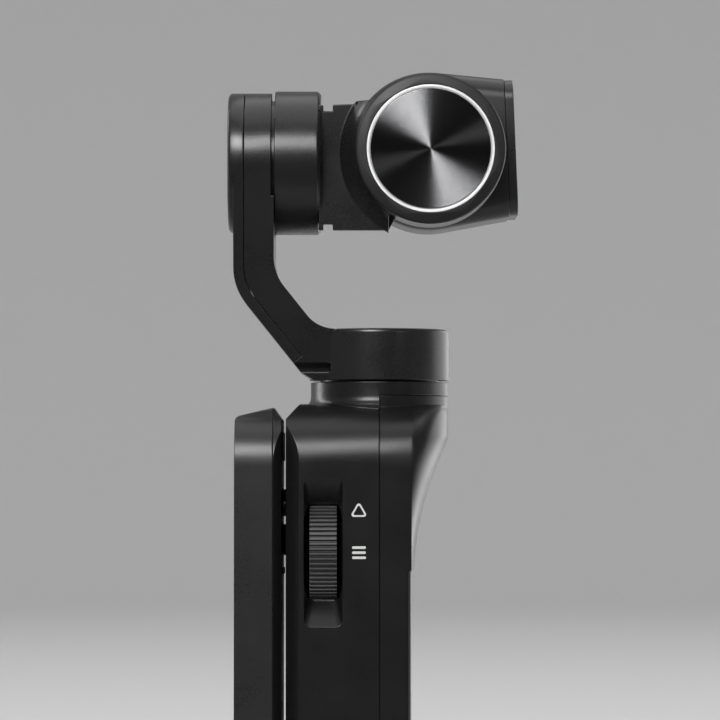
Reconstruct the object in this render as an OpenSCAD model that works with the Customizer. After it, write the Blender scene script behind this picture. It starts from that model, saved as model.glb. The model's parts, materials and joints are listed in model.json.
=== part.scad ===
// Handheld three-axis gimbal camera with a flip-out screen.
// Up is +Z, the lens looks along +X and the flip-out screen opens to +Y.
// The origin is the mouth of the tripod socket, in the middle of the base.

/* [Handle] */
// Width of the handle across its two sides
handle_w = 37; // [35:0.1:42]
// Depth of the handle from its rear face to its front face
handle_d = 21.1; // [20.5:0.1:25]
// Height of the handle from the base to its top face
handle_h = 88; // [84:0.5:105]
// Wall thickness of the two handle shells
shell_wall = 1.5; // [1.2:0.1:1.8]
// Thickness of the base plate
base_t = 2; // [1.6:0.1:2.4]
// Depth of the front shell, from the parting line to the flat front face
front_shell_d = 5.25; // [4.8:0.05:6.2]
// Chamfer of the two rear upright corners
rear_chamfer = 2.3; // [1.8:0.1:2.8]
// Height of the chamfer along the top of the rear face
top_chamfer_h = 2.6; // [2:0.1:3.2]
// Radius of the two shoulders, seen from the front
shoulder_r = 10; // [8:0.1:11]

/* [Nose of the front shell] */
// Height over which the front swells out to the neck collar
nose_h = 23.2; // [19:0.1:28]
// Height of the upright band between the nose and the top face
nose_band_h = 5.2; // [4.4:0.1:6.2]
// Radius of the rounded edge around the top face
top_edge_r = 1.8; // [1.4:0.1:2.2]
// Radius of the front upright corners
front_corner_r = 1; // [0.8:0.1:1.4]

/* [Neck and yaw motor] */
// Radius of the neck collar
collar_r = 11.8; // [11:0.1:12.6]
// Height of the neck collar above the handle
collar_h = 3.8; // [3.2:0.1:4.6]
// Air gap between the collar and the turning yaw housing
yaw_gap = 0.35; // [0.3:0.05:0.6]
// Radius of the turning yaw housing
yaw_r = 12; // [11.4:0.1:13]
// Height of the turning yaw housing
yaw_h = 8.7; // [7.8:0.1:10]
// Radius of the yaw shaft
yaw_shaft_r = 2; // [1.6:0.1:2.2]

/* [Arm] */
// Distance from the yaw axis back to the rear face of the arm
arm_back = 24.9; // [24:0.1:28]
// Thickness of the arm, seen from the side
arm_t = 6.9; // [6.2:0.1:7.6]
// Width of the arm where it leaves the yaw housing
arm_foot_w = 16; // [15:0.1:20]
// Angle between the leaning part of the arm and the upright
arm_lean_deg = 38.7; // [35:0.1:42]
// Height of the knee of the arm below the roll axis
arm_knee_drop = 21.85; // [20:0.05:24]
// Thickness of the cover along the back of the arm
arm_cover_t = 1.8; // [1.4:0.1:2.2]

/* [Roll motor] */
// Height of the roll axis above the top face of the handle
roll_rise = 41.6; // [40:0.1:46]
// Radius of the fixed head of the roll motor
head_r = 12; // [11.4:0.1:13]
// Distance that the head stands out behind the arm
head_proud = 1; // [0.6:0.1:1.4]
// Length of the fixed head along the roll axis
head_t = 7.4; // [6.8:0.1:8.4]
// Air gap between the fixed head and the rotor can
roll_gap = 0.6; // [0.4:0.05:0.9]
// Radius of the rotor can
rotor_r = 12.35; // [11.6:0.05:13]
// Length of the rotor can along the roll axis
rotor_t = 7.9; // [7.2:0.1:9]
// Radius of the roll shaft and the pitch shaft
tilt_shaft_r = 1.5; // [1.2:0.1:1.7]

/* [Bracket and pitch motor] */
// Distance from the yaw axis forward to the pitch axis
pitch_ahead = 8.5; // [8.2:0.1:10]
// Height of the pitch axis above the roll axis
pitch_rise = 1.2; // [0:0.1:2]
// Distance from the middle plane to the outer face of the side plate
plate_out = 8.5; // [8.3:0.1:10]
// Thickness of the side plate
plate_t = 2.5; // [2:0.1:2.8]
// Reach of the side plate above the roll axis
plate_up = 9.3; // [8:0.1:10.4]
// Reach of the side plate below the roll axis
plate_down = 12; // [10.5:0.1:12.3]
// Radius of the pitch motor can
can_r = 12.65; // [11.8:0.05:13]
// Distance that the can stands out beyond the side plate
can_proud = 8.7; // [8:0.1:10]
// Radius of the flared foot of the can
flare_r = 15.3; // [14.4:0.1:15.8]
// Height of the flared foot of the can
flare_h = 4.5; // [3.6:0.1:5.4]
// Thickness of the bezel over the can
bezel_t = 0.9; // [0.7:0.1:1.2]
// Outer radius of the bright ring on the bezel
trim_r = 10.75; // [10:0.05:11.2]
// Width of the bright ring
trim_w = 0.65; // [0.5:0.05:0.9]

/* [Camera] */
// Radius of the drum-shaped rear of the camera body
drum_r = 13.6; // [12.8:0.1:14]
// Distance from the pitch axis to the front of the camera body
snout_reach = 14.8; // [14:0.1:17]
// Width of the camera body
camera_w = 19.1; // [17.5:0.1:22]
// Angle by which the top and bottom of the body draw in to the front
snout_taper_deg = 8; // [6:0.5:10]
// Radius of the long edges of the camera body
camera_edge_r = 3.6; // [3:0.1:4.2]
// Wall thickness of the camera shell
camera_wall = 1.3; // [1:0.1:1.5]
// Thickness of the front bezel of the camera
front_bezel_t = 1.5; // [1.2:0.1:1.8]
// Radius of the lens opening in the front bezel
lens_hole_r = 7.2; // [6.4:0.1:8]
// Height of the middle of the camera body above the pitch axis
camera_rise = 0.7; // [0:0.1:0.9]
// Angle by which the camera looks up at rest
rest_tilt_deg = 2.4; // [0:0.1:5]

/* [Flip-out screen] */
// Height of the field of the buttons, below the closed screen
screen_foot = 19.4; // [17.5:0.1:25]
// Width of the screen module
screen_w = 34.3; // [31:0.1:35]
// Thickness of the screen frame
frame_t = 6.5; // [6:0.1:8]
// Thickness of the chamfered cover on the inner side of the screen
inner_cover_t = 1.4; // [1.1:0.1:1.8]
// Gap between the closed screen and the rear face of the handle
screen_gap = 0.75; // [0.65:0.05:1.2]
// Drop of the screen's top edge below the top face of the handle
screen_drop = 0.6; // [0.4:0.1:3]
// Radius of the corners of the screen module
screen_corner_r = 10; // [8:0.1:11]
// Radius of the hinge knuckles
knuckle_r = 2.3; // [2:0.1:2.4]
// Radius of the hinge pins
hinge_pin_r = 0.8; // [0.6:0.1:1]
// Thickness of the cover glass
glass_t = 0.8; // [0.6:0.1:1]

/* [Thumb wheel] */
// Radius of the thumb wheel over its ribs
wheel_r = 9; // [8.2:0.1:9.6]
// Width of the thumb wheel
wheel_w = 4.6; // [4:0.1:5]
// Distance that the wheel stands out of the side of the handle
wheel_proud = 1; // [0.7:0.1:1.4]
// Drop of the wheel axis below the top face of the handle
wheel_drop = 24.9; // [24:0.1:30]
// Number of ribs around the wheel
wheel_ribs = 66; // [40:1:80]
// Depth of the ribs
rib_depth = 0.45; // [0.3:0.05:0.6]
// Travel of the wheel when it is pressed
wheel_travel = 0.5; // [0.4:0.1:0.6]
// Width of the recess around the wheel
recess_w = 6.5; // [6:0.1:7]
// Height of the recess around the wheel
recess_h = 25.1; // [24:0.1:28]
// Depth of the recess at the wheel
recess_depth = 3.3; // [2.8:0.1:3.6]

/* [Buttons and sockets] */
// Radius of the two round buttons
button_r = 3.6; // [3:0.1:4.2]
// Distance that the buttons stand out
button_proud = 0.6; // [0.5:0.1:0.8]
// Distance between the two buttons
button_spacing = 14; // [12:0.5:15]
// Height of the buttons above the base
button_z = 10.5; // [9.5:0.1:11.5]
// Minor radius of the quarter-inch tripod thread
tripod_thread_r = 2.55; // [2.5:0.05:2.6]
// Depth of the tripod thread
tripod_depth = 5.5; // [5:0.1:6]
// Width of the USB socket
usb_w = 8.94; // [8.9:0.01:9]
// Height of the USB socket
usb_h = 3.2; // [3.1:0.05:3.3]

/* [Hidden] */

$fn = 96;

// Clearances: a seated piece, a running shaft, a moving neighbour, and the overrun of every cut
seat = 0.04;
run = 0.05;
air = 0.3;
overrun = 0.4;
seam = 0.08;

// Main planes of the handle
x_rear = -handle_d / 2;
x_front = handle_d / 2;
x_part = x_front - front_shell_d;
side_y = handle_w / 2;
in_x0 = x_rear + shell_wall;
in_x1 = x_front - shell_wall;
in_y = side_y - shell_wall;
in_z1 = handle_h - shell_wall;
rear_depth = x_part - x_rear;

// Nose: the curve of its reach, as shares of its height and of its reach beyond the front face
nose_z1 = handle_h - nose_band_h;
nose_z0 = nose_z1 - nose_h;
nose_step_h = 0.6;
nose_curve_shares = [[0, 0.11], [0.55, 0.17], [0.93, 1], [1, 1]];
nose_steps = 12;
edge_steps = 4;
nose_columns = 14;
band_steps = 4;
bow_back = 4;
bow_power = 2.4;

// Neck and yaw motor
pad_deep = 3.6;
parting_w = 0.2;
parting_deep = 0.35;
half_ring_h = 1.4;
collar_z1 = handle_h + collar_h;
collar_lip = 0.6;
collar_curve_shares = [[0, 1], [0.15, 0.62], [0.4, 0.28], [0.7, 0.08], [1, 0]];
spigot_r = 5.95;
spigot_l = 4;
housing_z0 = collar_z1 + yaw_gap;
housing_z1 = housing_z0 + yaw_h;
housing_edge = 0.7;
motor_wall = 1.4;
magnet_t = 1.1;
motor_air = 0.35;
lid_t = 2.4;
yaw_magnet_h = 4.4;
stator_slots = 9;
slot_w = 1.3;
slot_share = 0.55;
yaw_bearing_h = 2.6;
yaw_bearing_t = 1.9;
yaw_shaft_z0 = handle_h - spigot_l + run;

// Arm
roll_z = handle_h + roll_rise;
knee_z = roll_z - arm_knee_drop;
knee_r = 10;
inner_knee_r = 8;
foot_r = 6;
heel_r = 2;
heel_h = 1.25;
heel_back = 0.7;
lean_run = 16.3;
head_x0 = -arm_back - head_proud;
head_x1 = head_x0 + head_t;
head_edge = 0.6;
cover_head_t = head_proud + arm_cover_t;
flex_t = 0.35;
flex_w = 9;
flex_room = 0.8;
flex_top_drop = 5;
arm_core_back = 4;
undercut_h = 1.7;
undercut_r = 0.7;
undercut_depth = 1.6;
undercut_reach = 5.8;
arm_screw_ring = 8.2;
arm_screw_count = 3;
arm_screw_r = 0.7;
arm_screw_head_r = 1.3;
arm_screw_head_t = 0.8;

// Roll motor and bracket
rotor_x0 = head_x1 + roll_gap;
rotor_x1 = rotor_x0 + rotor_t;
rotor_wall = 1.3;
rotor_front_t = 1.5;
rotor_edge = 0.6;
tilt_bearing_l = 2.2;
tilt_bearing_t = 1.4;
head_floor = 1.2;
flange_r = 8;
flange_t = 2.4;
pitch_z = roll_z + pitch_rise;
plate_in = plate_out - plate_t;
plate_rise = 0.7;
corner_notch_l = 1.6;
corner_notch_h = 1;
corner_notch_gap = 0.4;
flare_start_back = 7;
can_face = plate_out + can_proud;
can_wall = 1.3;
can_front_t = 1.4;
bezel_edge = 0.5;
disc_t = 0.35;
trim_chamfer = 0.3;
pitch_magnet_reach = 7;
pitch_stator_l = 5.2;

// Camera
camera_gap = 0.4;
cam_y0 = -plate_in + camera_gap;
cam_y1 = cam_y0 + camera_w;
lens_y = cam_y0 + camera_w / 2;
snout_x1 = snout_reach - front_bezel_t;
snout_half_h = (drum_r - snout_reach * sin(snout_taper_deg)) / cos(snout_taper_deg);
drum_steps = 44;
camera_edge_steps = 6;
lens_ring_t = 2.2;
lens_ring_w = 1.35;
lens_glass_t = 0.6;
lens_glass_drop = 0.3;
barrel_r = 5.9;
barrel_wall = 0.9;
barrel_back = 3;
lens_t = 1.6;
lens_count = 3;
sensor_board_half = 7;
sensor_board_t = 1;
sensor_half = 3.2;
sensor_t = 0.8;
shaft_grip = 2.5;

// Screen
screen_side_in = 0.2;
screen_slant = 1.6;
screen_edge_r = 1.1;
screen_x1 = x_rear - screen_gap;
frame_x1 = screen_x1 - inner_cover_t;
frame_x0 = frame_x1 - frame_t;
screen_y0 = -side_y + screen_side_in;
screen_y1 = screen_y0 + screen_w;
screen_z1 = handle_h - screen_drop;
screen_z0 = screen_foot;
screen_len = screen_z1 - screen_z0;
cover_chamfer = 2;
glass_lip = 1.1;
panel_t = 1.5;
panel_lip = 1.6;
hinge_ahead = 0.4;
hinge_x = screen_x1 + hinge_ahead;
hinge_y = side_y - rear_chamfer + (knuckle_r + air) * sqrt(2) + hinge_x - x_rear;
knuckle_pair_shares = [[0.062, 0.127], [0.725, 0.795]];
cable_barrel_shares = [0.624, 0.704];
hinge_rod_r = 1.2;
hinge_web_t = 1.6;
hinge_rod_side = 0.9;
hinge_rod_x = in_x0 + hinge_rod_r + seat + hinge_rod_side;
hinge_rod_y = hinge_y - (hinge_rod_x - hinge_x);
leaf_t = 1.6;
leaf_w = 6;
frame_side_wall = 1.3;
bumper_w = 5;
bumper_h = 1.1;
latch_h = 4.8;
bumper_t = screen_gap - air;
bumper_shares = [0.09, 0.593];
latch_share = 0.903;

// Thumb wheel
wheel_back_share = 0.602;
rib_turn_shares = [0, 0.22, 0.55, 0.77];
rib_height_shares = [0, 1, 1, 0];
wheel_x = x_part - wheel_back_share * rear_depth;
wheel_y = -(side_y + wheel_proud - wheel_r);
wheel_z = handle_h - wheel_drop;
axle_r = 1.2;
carrier_wall = 0.7;
carrier_half = wheel_w / 2 + air + carrier_wall;
carrier_front = 3;
carrier_half_h = 5;
carrier_back = wheel_y + wheel_r + air;
carrier_back_t = 0.9;
switch_front = carrier_back + carrier_back_t + wheel_travel + air;
well_wall = 1;
well_floor = 1.2;
guide_t = 0.8;
guide_l = 9;
pocket_side = 0.2;
recess_corner_r = 1.2;
switch_t = 1.15;
switch_half = 1.6;
shelf_t = 1;
shelf_half_h = 4;

// Boards and frame inside the handle
frame_back = 3.7;
mid_frame_t = 1;
mid_frame_x0 = x_part - frame_back;
mid_frame_x1 = mid_frame_x0 + mid_frame_t;
mid_frame_low = 9;
mid_frame_drop = 8;
standoff_h = 1.4;
standoff_r = 1.5;
standoff_in = 3;
board_t = 1;
board_x0 = mid_frame_x1 + standoff_h;
board_x1 = board_x0 + board_t;
board_side = 2.5;
board_z0 = 8;
board_drop = 9.5;
board_z1 = in_z1 - board_drop;
board_tab_z = base_t + 0.6 * board_t;
battery_side = 3.5;
battery_gap = 2;
battery_edge = 1;
battery_z1 = wheel_z - wheel_r - battery_gap;
shield_half_w = 10;
shield_h = 24;
shield_t = 2;
shield_share = 0.434783;
shield_z0 = board_z0 + shield_share * (board_z1 - board_z0) - shield_h / 2;
usb_y = 8;
usb_l = 7.3;
usb_lift = 0.3;
usb_skin = 0.35;
usb_tongue_t = 0.7;
card_w = 11;
card_t = 1;
card_lift = 0.4;
card_body_w = 12.4;
card_body_l = 15;
card_body_t = 1.6;
card_share = 0.782609;
card_z = board_z0 + card_share * (board_z1 - board_z0);
button_board_back = 2.5;
button_board_t = 0.8;
button_board_half_w = 11;
button_board_h = 13.5;
button_board_z0 = 4;
post_r = 1;
flange_over = 0.9;
button_flange_t = 0.45;
button_slip = 0.15;
button_crown = 0.4;
base_screw_in = 3.9;
base_screw_front_in = 3.6;
screw_r = 0.8;
screw_head_r = 1.4;
screw_head_t = 0.9;
screw_sunk = 0.2;
base_boss_r = 1.8;
base_boss_h = 6.5;
base_web_t = 1.2;
shell_boss_r = 1.9;
shell_boss_l = 5.2;
shell_screw_y = 11.5;
shell_screw_low = 21;
shell_screw_drop = 8;
shell_screw_high = handle_h - shell_screw_drop;
shell_screw_l = 16.5;
insert_r = 4.2;
insert_floor = 1;
insert_boss_t = 1.2;
mic_half = 1.5;
mic_t = 1.2;
mic_y = 12;
mic_below = 7.6;
mic_z = nose_z0 - mic_below;
sound_hole_r = 0.5;
speaker_w = 9;
speaker_h = 10;
speaker_t = 3.3;
speaker_y = -8;
speaker_z0 = 8.6;
speaker_holes = 5;
speaker_hole_pitch = 1.7;

// Derived places on the two tilting joints
can_floor = can_face - can_front_t;
disc_r = trim_r - trim_w;
bezel_face = can_face + bezel_t;
magnet_out_r = rotor_r - rotor_wall - seat;
magnet_in_r = magnet_out_r - magnet_t;
roll_stator_r = magnet_in_r - motor_air;
can_magnet_out_r = can_r - can_wall - motor_air;
can_magnet_in_r = can_magnet_out_r - magnet_t;
pitch_stator_r = can_magnet_in_r - motor_air;
yaw_magnet_out_r = yaw_r - motor_wall - seat;
yaw_stator_r = yaw_magnet_out_r - magnet_t - motor_air;
roll_seat_r = rotor_r - rotor_wall - motor_air;
roll_seat_x1 = rotor_x0 + roll_gap / 2;
yaw_seat_r = yaw_r - motor_wall - motor_air;
yaw_seat_z1 = collar_z1 + yaw_gap * 2;
ceiling_z = housing_z1 - lid_t;

// Shapes drawn in the plane across X, Y or Z and carried along that axis
module along_x(x0, x1) {
    translate([x0, 0, 0]) rotate([90, 0, 90]) linear_extrude(x1 - x0) children();
}
module along_y(y0, y1) {
    translate([0, y1, 0]) rotate([90, 0, 0]) linear_extrude(y1 - y0) children();
}
module along_z(z0, z1) {
    translate([0, 0, z0]) linear_extrude(z1 - z0) children();
}
module rod_x(r, x0, x1) {
    translate([x0, 0, 0]) rotate([0, 90, 0]) cylinder(r = r, h = x1 - x0);
}
module rod_y(r, y0, y1) {
    translate([0, y1, 0]) rotate([90, 0, 0]) cylinder(r = r, h = y1 - y0);
}
module rod_z(r, z0, z1) {
    translate([0, 0, z0]) cylinder(r = r, h = z1 - z0);
}
module box(x, y, z) {
    translate([x[0], y[0], z[0]]) cube([x[1] - x[0], y[1] - y[0], z[1] - z[0]]);
}
module ring_x(r_in, r_out, x0, x1) {
    difference() {
        rod_x(r_out, x0, x1);
        rod_x(r_in, x0 - overrun, x1 + overrun);
    }
}
module ring_y(r_in, r_out, y0, y1) {
    difference() {
        rod_y(r_out, y0, y1);
        rod_y(r_in, y0 - overrun, y1 + overrun);
    }
}
module ring_z(r_in, r_out, z0, z1) {
    difference() {
        rod_z(r_out, z0, z1);
        rod_z(r_in, z0 - overrun, z1 + overrun);
    }
}

// Places of the joints
module at_yaw() {
    translate([x_part, 0, 0]) children();
}
module at_roll() {
    translate([x_part, 0, roll_z]) children();
}
module at_pitch() {
    translate([x_part + pitch_ahead, 0, pitch_z]) children();
}
module at_camera() {
    at_pitch() rotate([0, -rest_tilt_deg, 0]) children();
}
module at_hinge() {
    translate([hinge_x, hinge_y, 0]) children();
}
module at_wheel() {
    translate([wheel_x, wheel_y, wheel_z]) children();
}

// An outline whose corners are rounded: one radius for each point
function unit(v) = v / norm(v);
function turn(a) = a > 180 ? a - 360 : a < -180 ? a + 360 : a;
function corner_arc(before, at, after, r, n) =
    let (u = unit(before - at), v = unit(after - at),
         half = acos(max(-1, min(1, u * v))) / 2,
         centre = at + unit(u + v) * r / sin(half),
         first = at + u * r / tan(half) - centre,
         last = at + v * r / tan(half) - centre,
         a0 = atan2(first[1], first[0]),
         sweep = turn(atan2(last[1], last[0]) - a0))
    [for (i = [0 : n]) centre + r * [cos(a0 + sweep * i / n), sin(a0 + sweep * i / n)]];
function rounded(points, radii, n = 10) =
    let (count = len(points))
    [for (i = [0 : count - 1])
        each (radii[i] == 0 ? [points[i]]
            : corner_arc(points[(i + count - 1) % count], points[i], points[(i + 1) % count],
                         radii[i], n))];
function rectangle(a, b) = [[a[0], a[1]], [b[0], a[1]], [b[0], b[1]], [a[0], b[1]]];
module rounded_rectangle(a, b, r) {
    polygon(rounded(rectangle(a, b), [r, r, r, r]));
}

// A skin over rows of points, closed at both ends
module skin(rows) {
    n = len(rows[0]);
    last = len(rows) - 1;
    polyhedron(
        points = [for (row = rows) each row],
        faces = concat(
            [[for (i = [0 : n - 1]) i]],
            [[for (i = [0 : n - 1]) last * n + n - 1 - i]],
            [for (j = [0 : last - 1], i = [0 : n - 1])
                [j * n + i, (j + 1) * n + i, (j + 1) * n + (i + 1) % n]],
            [for (j = [0 : last - 1], i = [0 : n - 1])
                [j * n + i, (j + 1) * n + (i + 1) % n, j * n + (i + 1) % n]]));
}

// Outlines of the handle
function inner_chamfer(inset) = rear_chamfer - inset * (2 - sqrt(2));
module rear_plan(inset, x1) {
    y = side_y - inset;
    x0 = x_rear + inset;
    c = inner_chamfer(inset);
    polygon([[x1, -y], [x1, y], [x0 + c, y], [x0, y - c], [x0, c - y], [x0 + c, -y]]);
}
module front_plan() {
    polygon(rounded(
        [[x_part - seam, -side_y], [x_front, -side_y], [x_front, side_y], [x_part - seam, side_y]],
        [0, front_corner_r, front_corner_r, 0]));
}
module shoulder_outline(inset) {
    y = side_y - inset;
    z0 = inset > 0 ? base_t - overrun : base_t;
    polygon(rounded([[-y, z0], [y, z0], [y, handle_h - inset], [-y, handle_h - inset]],
                    [0, 0, shoulder_r - inset, shoulder_r - inset]));
}
module neck_pad() {
    at_yaw() rod_z(collar_r + collar_lip, handle_h - pad_deep, handle_h);
}
module parting_groove() {
    along_x(x_part - parting_w, x_part + overrun) difference() {
        shoulder_outline(0);
        shoulder_outline(parting_deep);
    }
}
module rear_side_outline() {
    polygon([[x_part, base_t], [x_part, handle_h], [x_rear + rear_chamfer, handle_h],
             [x_rear, handle_h - top_chamfer_h], [x_rear, base_t]]);
}

// Front shell: the reach of the front beyond the parting line, over the height and the width
function bezier(p, t) =
    p[0] * pow(1 - t, 3) + p[1] * 3 * t * pow(1 - t, 2) + p[2] * 3 * t * t * (1 - t) + p[3] * pow(t, 3);
function half_width(z) =
    let (up = z - (handle_h - shoulder_r))
    side_y - (up > 0 ? shoulder_r - sqrt(max(0, shoulder_r * shoulder_r - up * up)) : 0);
function flat_reach(y, w) =
    let (in = abs(y) - (w - front_corner_r))
    front_shell_d - (in > 0 ? front_corner_r - sqrt(max(0, front_corner_r * front_corner_r - in * in)) : 0);
function ring_reach(y, r) = abs(y) < r ? sqrt(r * r - y * y) : 0;
// The swelling starts at the front corner of the side and reaches r in the middle
function bow_reach(y, r, w) =
    let (start = pow((front_shell_d - bow_back) / (r - bow_back), bow_power),
         in = 1 - (1 - start) * pow(abs(y) / w, bow_power))
    bow_back + (r - bow_back) * pow(max(0, in), 1 / bow_power);
function front_reach(y, level, w) =
    let (x = max(flat_reach(y, w), level[2] * bow_reach(y, level[1], w)))
    max(x - level[3], min(x, ring_reach(y, collar_r)));
// Each level: height, reach in the middle, 1 where the front swells, drop of the rounded top edge
function nose_level(t) =
    let (p = bezier(nose_curve_shares, t))
    [nose_z0 + nose_step_h + p[0] * (nose_h - nose_step_h),
     front_shell_d + p[1] * (collar_r - front_shell_d), 1, 0];
function edge_level(a) =
    [handle_h - top_edge_r * (1 - sin(a)), collar_r, 1, top_edge_r * (1 - cos(a))];
nose_levels = concat(
    [[base_t, front_shell_d, 0, 0], [nose_z0, front_shell_d, 0, 0]],
    [for (i = [0 : nose_steps]) nose_level(i / nose_steps)],
    [for (i = [1 : band_steps - 1]) [nose_z1 + (nose_band_h - top_edge_r) * i / band_steps, collar_r, 1, 0]],
    [for (i = [0 : edge_steps]) edge_level(90 * i / edge_steps)]);
function nose_row(level, inset, z, w) =
    let (back = inset > 0 ? -overrun : 0,
         outer = [for (i = [-nose_columns : nose_columns]) w * sin(90 * i / nose_columns)])
    concat(
        [[back, -(w - inset), z]],
        [for (y = outer) [front_reach(y, level, w) - inset, y * (w - inset) / w, z]],
        [[back, w - inset, z]]);
module nose_solid() {
    at_yaw() skin([for (level = nose_levels) nose_row(level, 0, level[0], half_width(level[0]))]);
}
module nose_pocket() {
    walled = [for (i = [1 : len(nose_levels) - edge_steps - 1]) nose_levels[i]];
    at_yaw() skin(concat(
        [nose_row(nose_levels[0], shell_wall, base_t - overrun, side_y)],
        [for (level = walled) if (level[0] < in_z1 - overrun)
            nose_row(level, shell_wall, level[0], half_width(level[0]))],
        [nose_row(nose_levels[len(nose_levels) - edge_steps - 1], shell_wall, in_z1, half_width(in_z1))]));
}

// Screw places
base_screw_places = [for (x = [x_rear + base_screw_in, x_front - base_screw_front_in],
                          y = [-side_y + base_screw_in, side_y - base_screw_in]) [x, y]];
shell_screw_places = [for (y = [-shell_screw_y, shell_screw_y], z = [shell_screw_low, shell_screw_high])
    [y, z]];
module at_shell_screws() {
    for (p = shell_screw_places) translate([0, p[0], p[1]]) children();
}
module base_bosses(front) {
    for (p = base_screw_places)
        if ((p[0] > x_part) == front) {
            wall = sign(p[1]) * (side_y - shell_wall / 2);
            translate([p[0], p[1], 0]) rod_z(base_boss_r, base_t, base_t + base_boss_h);
            box([p[0] - base_web_t / 2, p[0] + base_web_t / 2], [min(p[1], wall), max(p[1], wall)],
                [base_t, base_t + base_boss_h]);
        }
}
module base_screw_holes() {
    for (p = base_screw_places)
        translate([p[0], p[1], 0]) rod_z(screw_r + seat, -overrun, base_t + base_boss_h - shell_wall);
}

// Hinge: each pair of knuckles, as the height of its foot, its middle and its top
function hinge_pair(shares) =
    let (z0 = screen_z0 + shares[0] * screen_len, z1 = screen_z0 + shares[1] * screen_len)
    [z0, (z0 + z1) / 2, z1];
hinge_pairs = [for (shares = knuckle_pair_shares) hinge_pair(shares)];
cable_barrel = hinge_pair(cable_barrel_shares);
module hinge_web(z0, z1, grow) {
    at_hinge() rotate([0, 0, -45])
        box([0, norm([hinge_rod_x - hinge_x, hinge_rod_y - hinge_y])],
            [-hinge_web_t / 2 - grow, hinge_web_t / 2 + grow], [z0 - grow, z1 + grow]);
}

// Thumb wheel recess: a well in the side wall with a ramp above and below the wheel
module wheel_well(grow) {
    half_w = recess_w / 2 + well_wall + grow;
    half_h = recess_h / 2 + well_wall + grow;
    box([wheel_x - half_w, wheel_x + half_w],
        [-side_y + shell_wall / 2, -side_y + recess_depth + well_floor + grow],
        [wheel_z - half_h, wheel_z + half_h]);
}
module wheel_guides(grow) {
    for (side = [-1, 1])
        translate([wheel_x + side * (carrier_half + air + guide_t / 2), 0, 0])
            box([-guide_t / 2 - grow, guide_t / 2 + grow],
                [-side_y + recess_depth - grow, -side_y + recess_depth + guide_l + grow],
                [wheel_z - carrier_half_h - grow, wheel_z + carrier_half_h + grow]);
}
function pocket_row(y, half_w, half_h) =
    let (r = recess_corner_r,
         corners = rectangle([wheel_x - half_w, wheel_z - half_h], [wheel_x + half_w, wheel_z + half_h]))
    [for (p = rounded(corners, [r, r, r, r], edge_steps)) [p[0], y, p[1]]];
module wheel_recess() {
    skin([pocket_row(-side_y + recess_depth, wheel_w / 2 + pocket_side, wheel_r - air - rib_depth),
          pocket_row(-side_y, recess_w / 2, recess_h / 2),
          pocket_row(-side_y - overrun, recess_w / 2, recess_h / 2)]);
    at_wheel() rod_x(wheel_r + air, -recess_w / 2, recess_w / 2);
    at_wheel() box([-carrier_half - air, carrier_half + air],
        [-carrier_front - air, switch_front - wheel_y], [-carrier_half_h - air, carrier_half_h + air]);
}

// Handle
module rear_shell() {
    color([0.13, 0.13, 0.14]) difference() {
        union() {
            difference() {
                union() {
                    intersection() {
                        along_z(base_t, handle_h) rear_plan(0, x_part);
                        along_x(x_rear - overrun, x_part) shoulder_outline(0);
                        along_y(-side_y - overrun, side_y + overrun) rear_side_outline();
                    }
                    intersection() {
                        neck_pad();
                        box([x_rear, x_part], [-side_y, side_y], [0, handle_h]);
                    }
                }
                intersection() {
                    along_z(base_t - overrun, in_z1) rear_plan(shell_wall, x_part + overrun);
                    along_x(x_rear - overrun, x_part + overrun) shoulder_outline(shell_wall);
                }
            }
            wheel_well(0);
            wheel_guides(0);
            base_bosses(false);
            at_shell_screws() rod_x(shell_boss_r, in_x0 - seam, in_x0 + shell_boss_l);
            difference() {
                for (z = [button_board_z0 + post_r, button_board_z0 + button_board_h - post_r])
                    translate([0, 0, z]) rod_x(post_r, in_x0 - seam, in_x0 + button_board_back - seat);
                insert_boss(air);
            }
        }
        wheel_recess();
        parting_groove();
        at_yaw() rod_z(spigot_r + seat, in_z1 - overrun, handle_h + overrun);
        for (side = [-1, 1])
            translate([0, side * button_spacing / 2, button_z])
                rod_x(button_r + button_slip, x_rear - overrun, in_x0 + overrun);
        for (pair = hinge_pairs) hinge_web(pair[0], pair[1], seat);
        base_screw_holes();
        at_shell_screws() {
            rod_x(screw_r + seat, x_rear - overrun, in_x0 + shell_boss_l + overrun);
            rod_x(screw_head_r + seat, x_rear - overrun, x_rear + screw_sunk + screw_head_t);
        }
    }
}
module front_shell() {
    color([0.12, 0.12, 0.13]) difference() {
        union() {
            difference() {
                union() {
                    nose_solid();
                    at_yaw() intersection() {
                        rod_z(collar_r - air, handle_h - pad_deep, handle_h);
                        box([0, yaw_r], [-yaw_r, yaw_r], [0, collar_z1]);
                    }
                }
                intersection() {
                    nose_pocket();
                    along_x(x_part - overrun, x_part + handle_d) shoulder_outline(shell_wall);
                }
            }
            at_yaw() intersection() {
                rod_z(collar_r - seat, handle_h - shell_wall / 2, handle_h + half_ring_h);
                box([0, yaw_r], [-yaw_r, yaw_r], [0, collar_z1]);
            }
            base_bosses(true);
            intersection() {
                nose_solid();
                at_shell_screws()
                    rod_x(shell_boss_r, x_part + seam, x_part + collar_r - shell_wall / 2);
            }
        }
        at_yaw() rod_z(spigot_r + seat, in_z1 - overrun, handle_h + half_ring_h + overrun);
        base_screw_holes();
        at_shell_screws() rod_x(screw_r + seat, x_part - overrun, x_rear + shell_screw_l + air);
        box([board_x1 + card_lift, board_x1 + card_lift + card_t], [in_y - overrun, side_y + overrun],
            [card_z - card_w / 2, card_z + card_w / 2]);
        for (side = [-1, 1])
            translate([0, side * mic_y, mic_z]) rod_x(sound_hole_r, in_x1 - overrun, x_front + overrun);
        for (i = [0 : speaker_holes - 1])
            translate([0, speaker_y + (i - (speaker_holes - 1) / 2) * speaker_hole_pitch,
                       speaker_z0 + speaker_h / 2])
                rod_x(sound_hole_r, in_x1 - overrun, x_front + overrun);
    }
}
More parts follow.
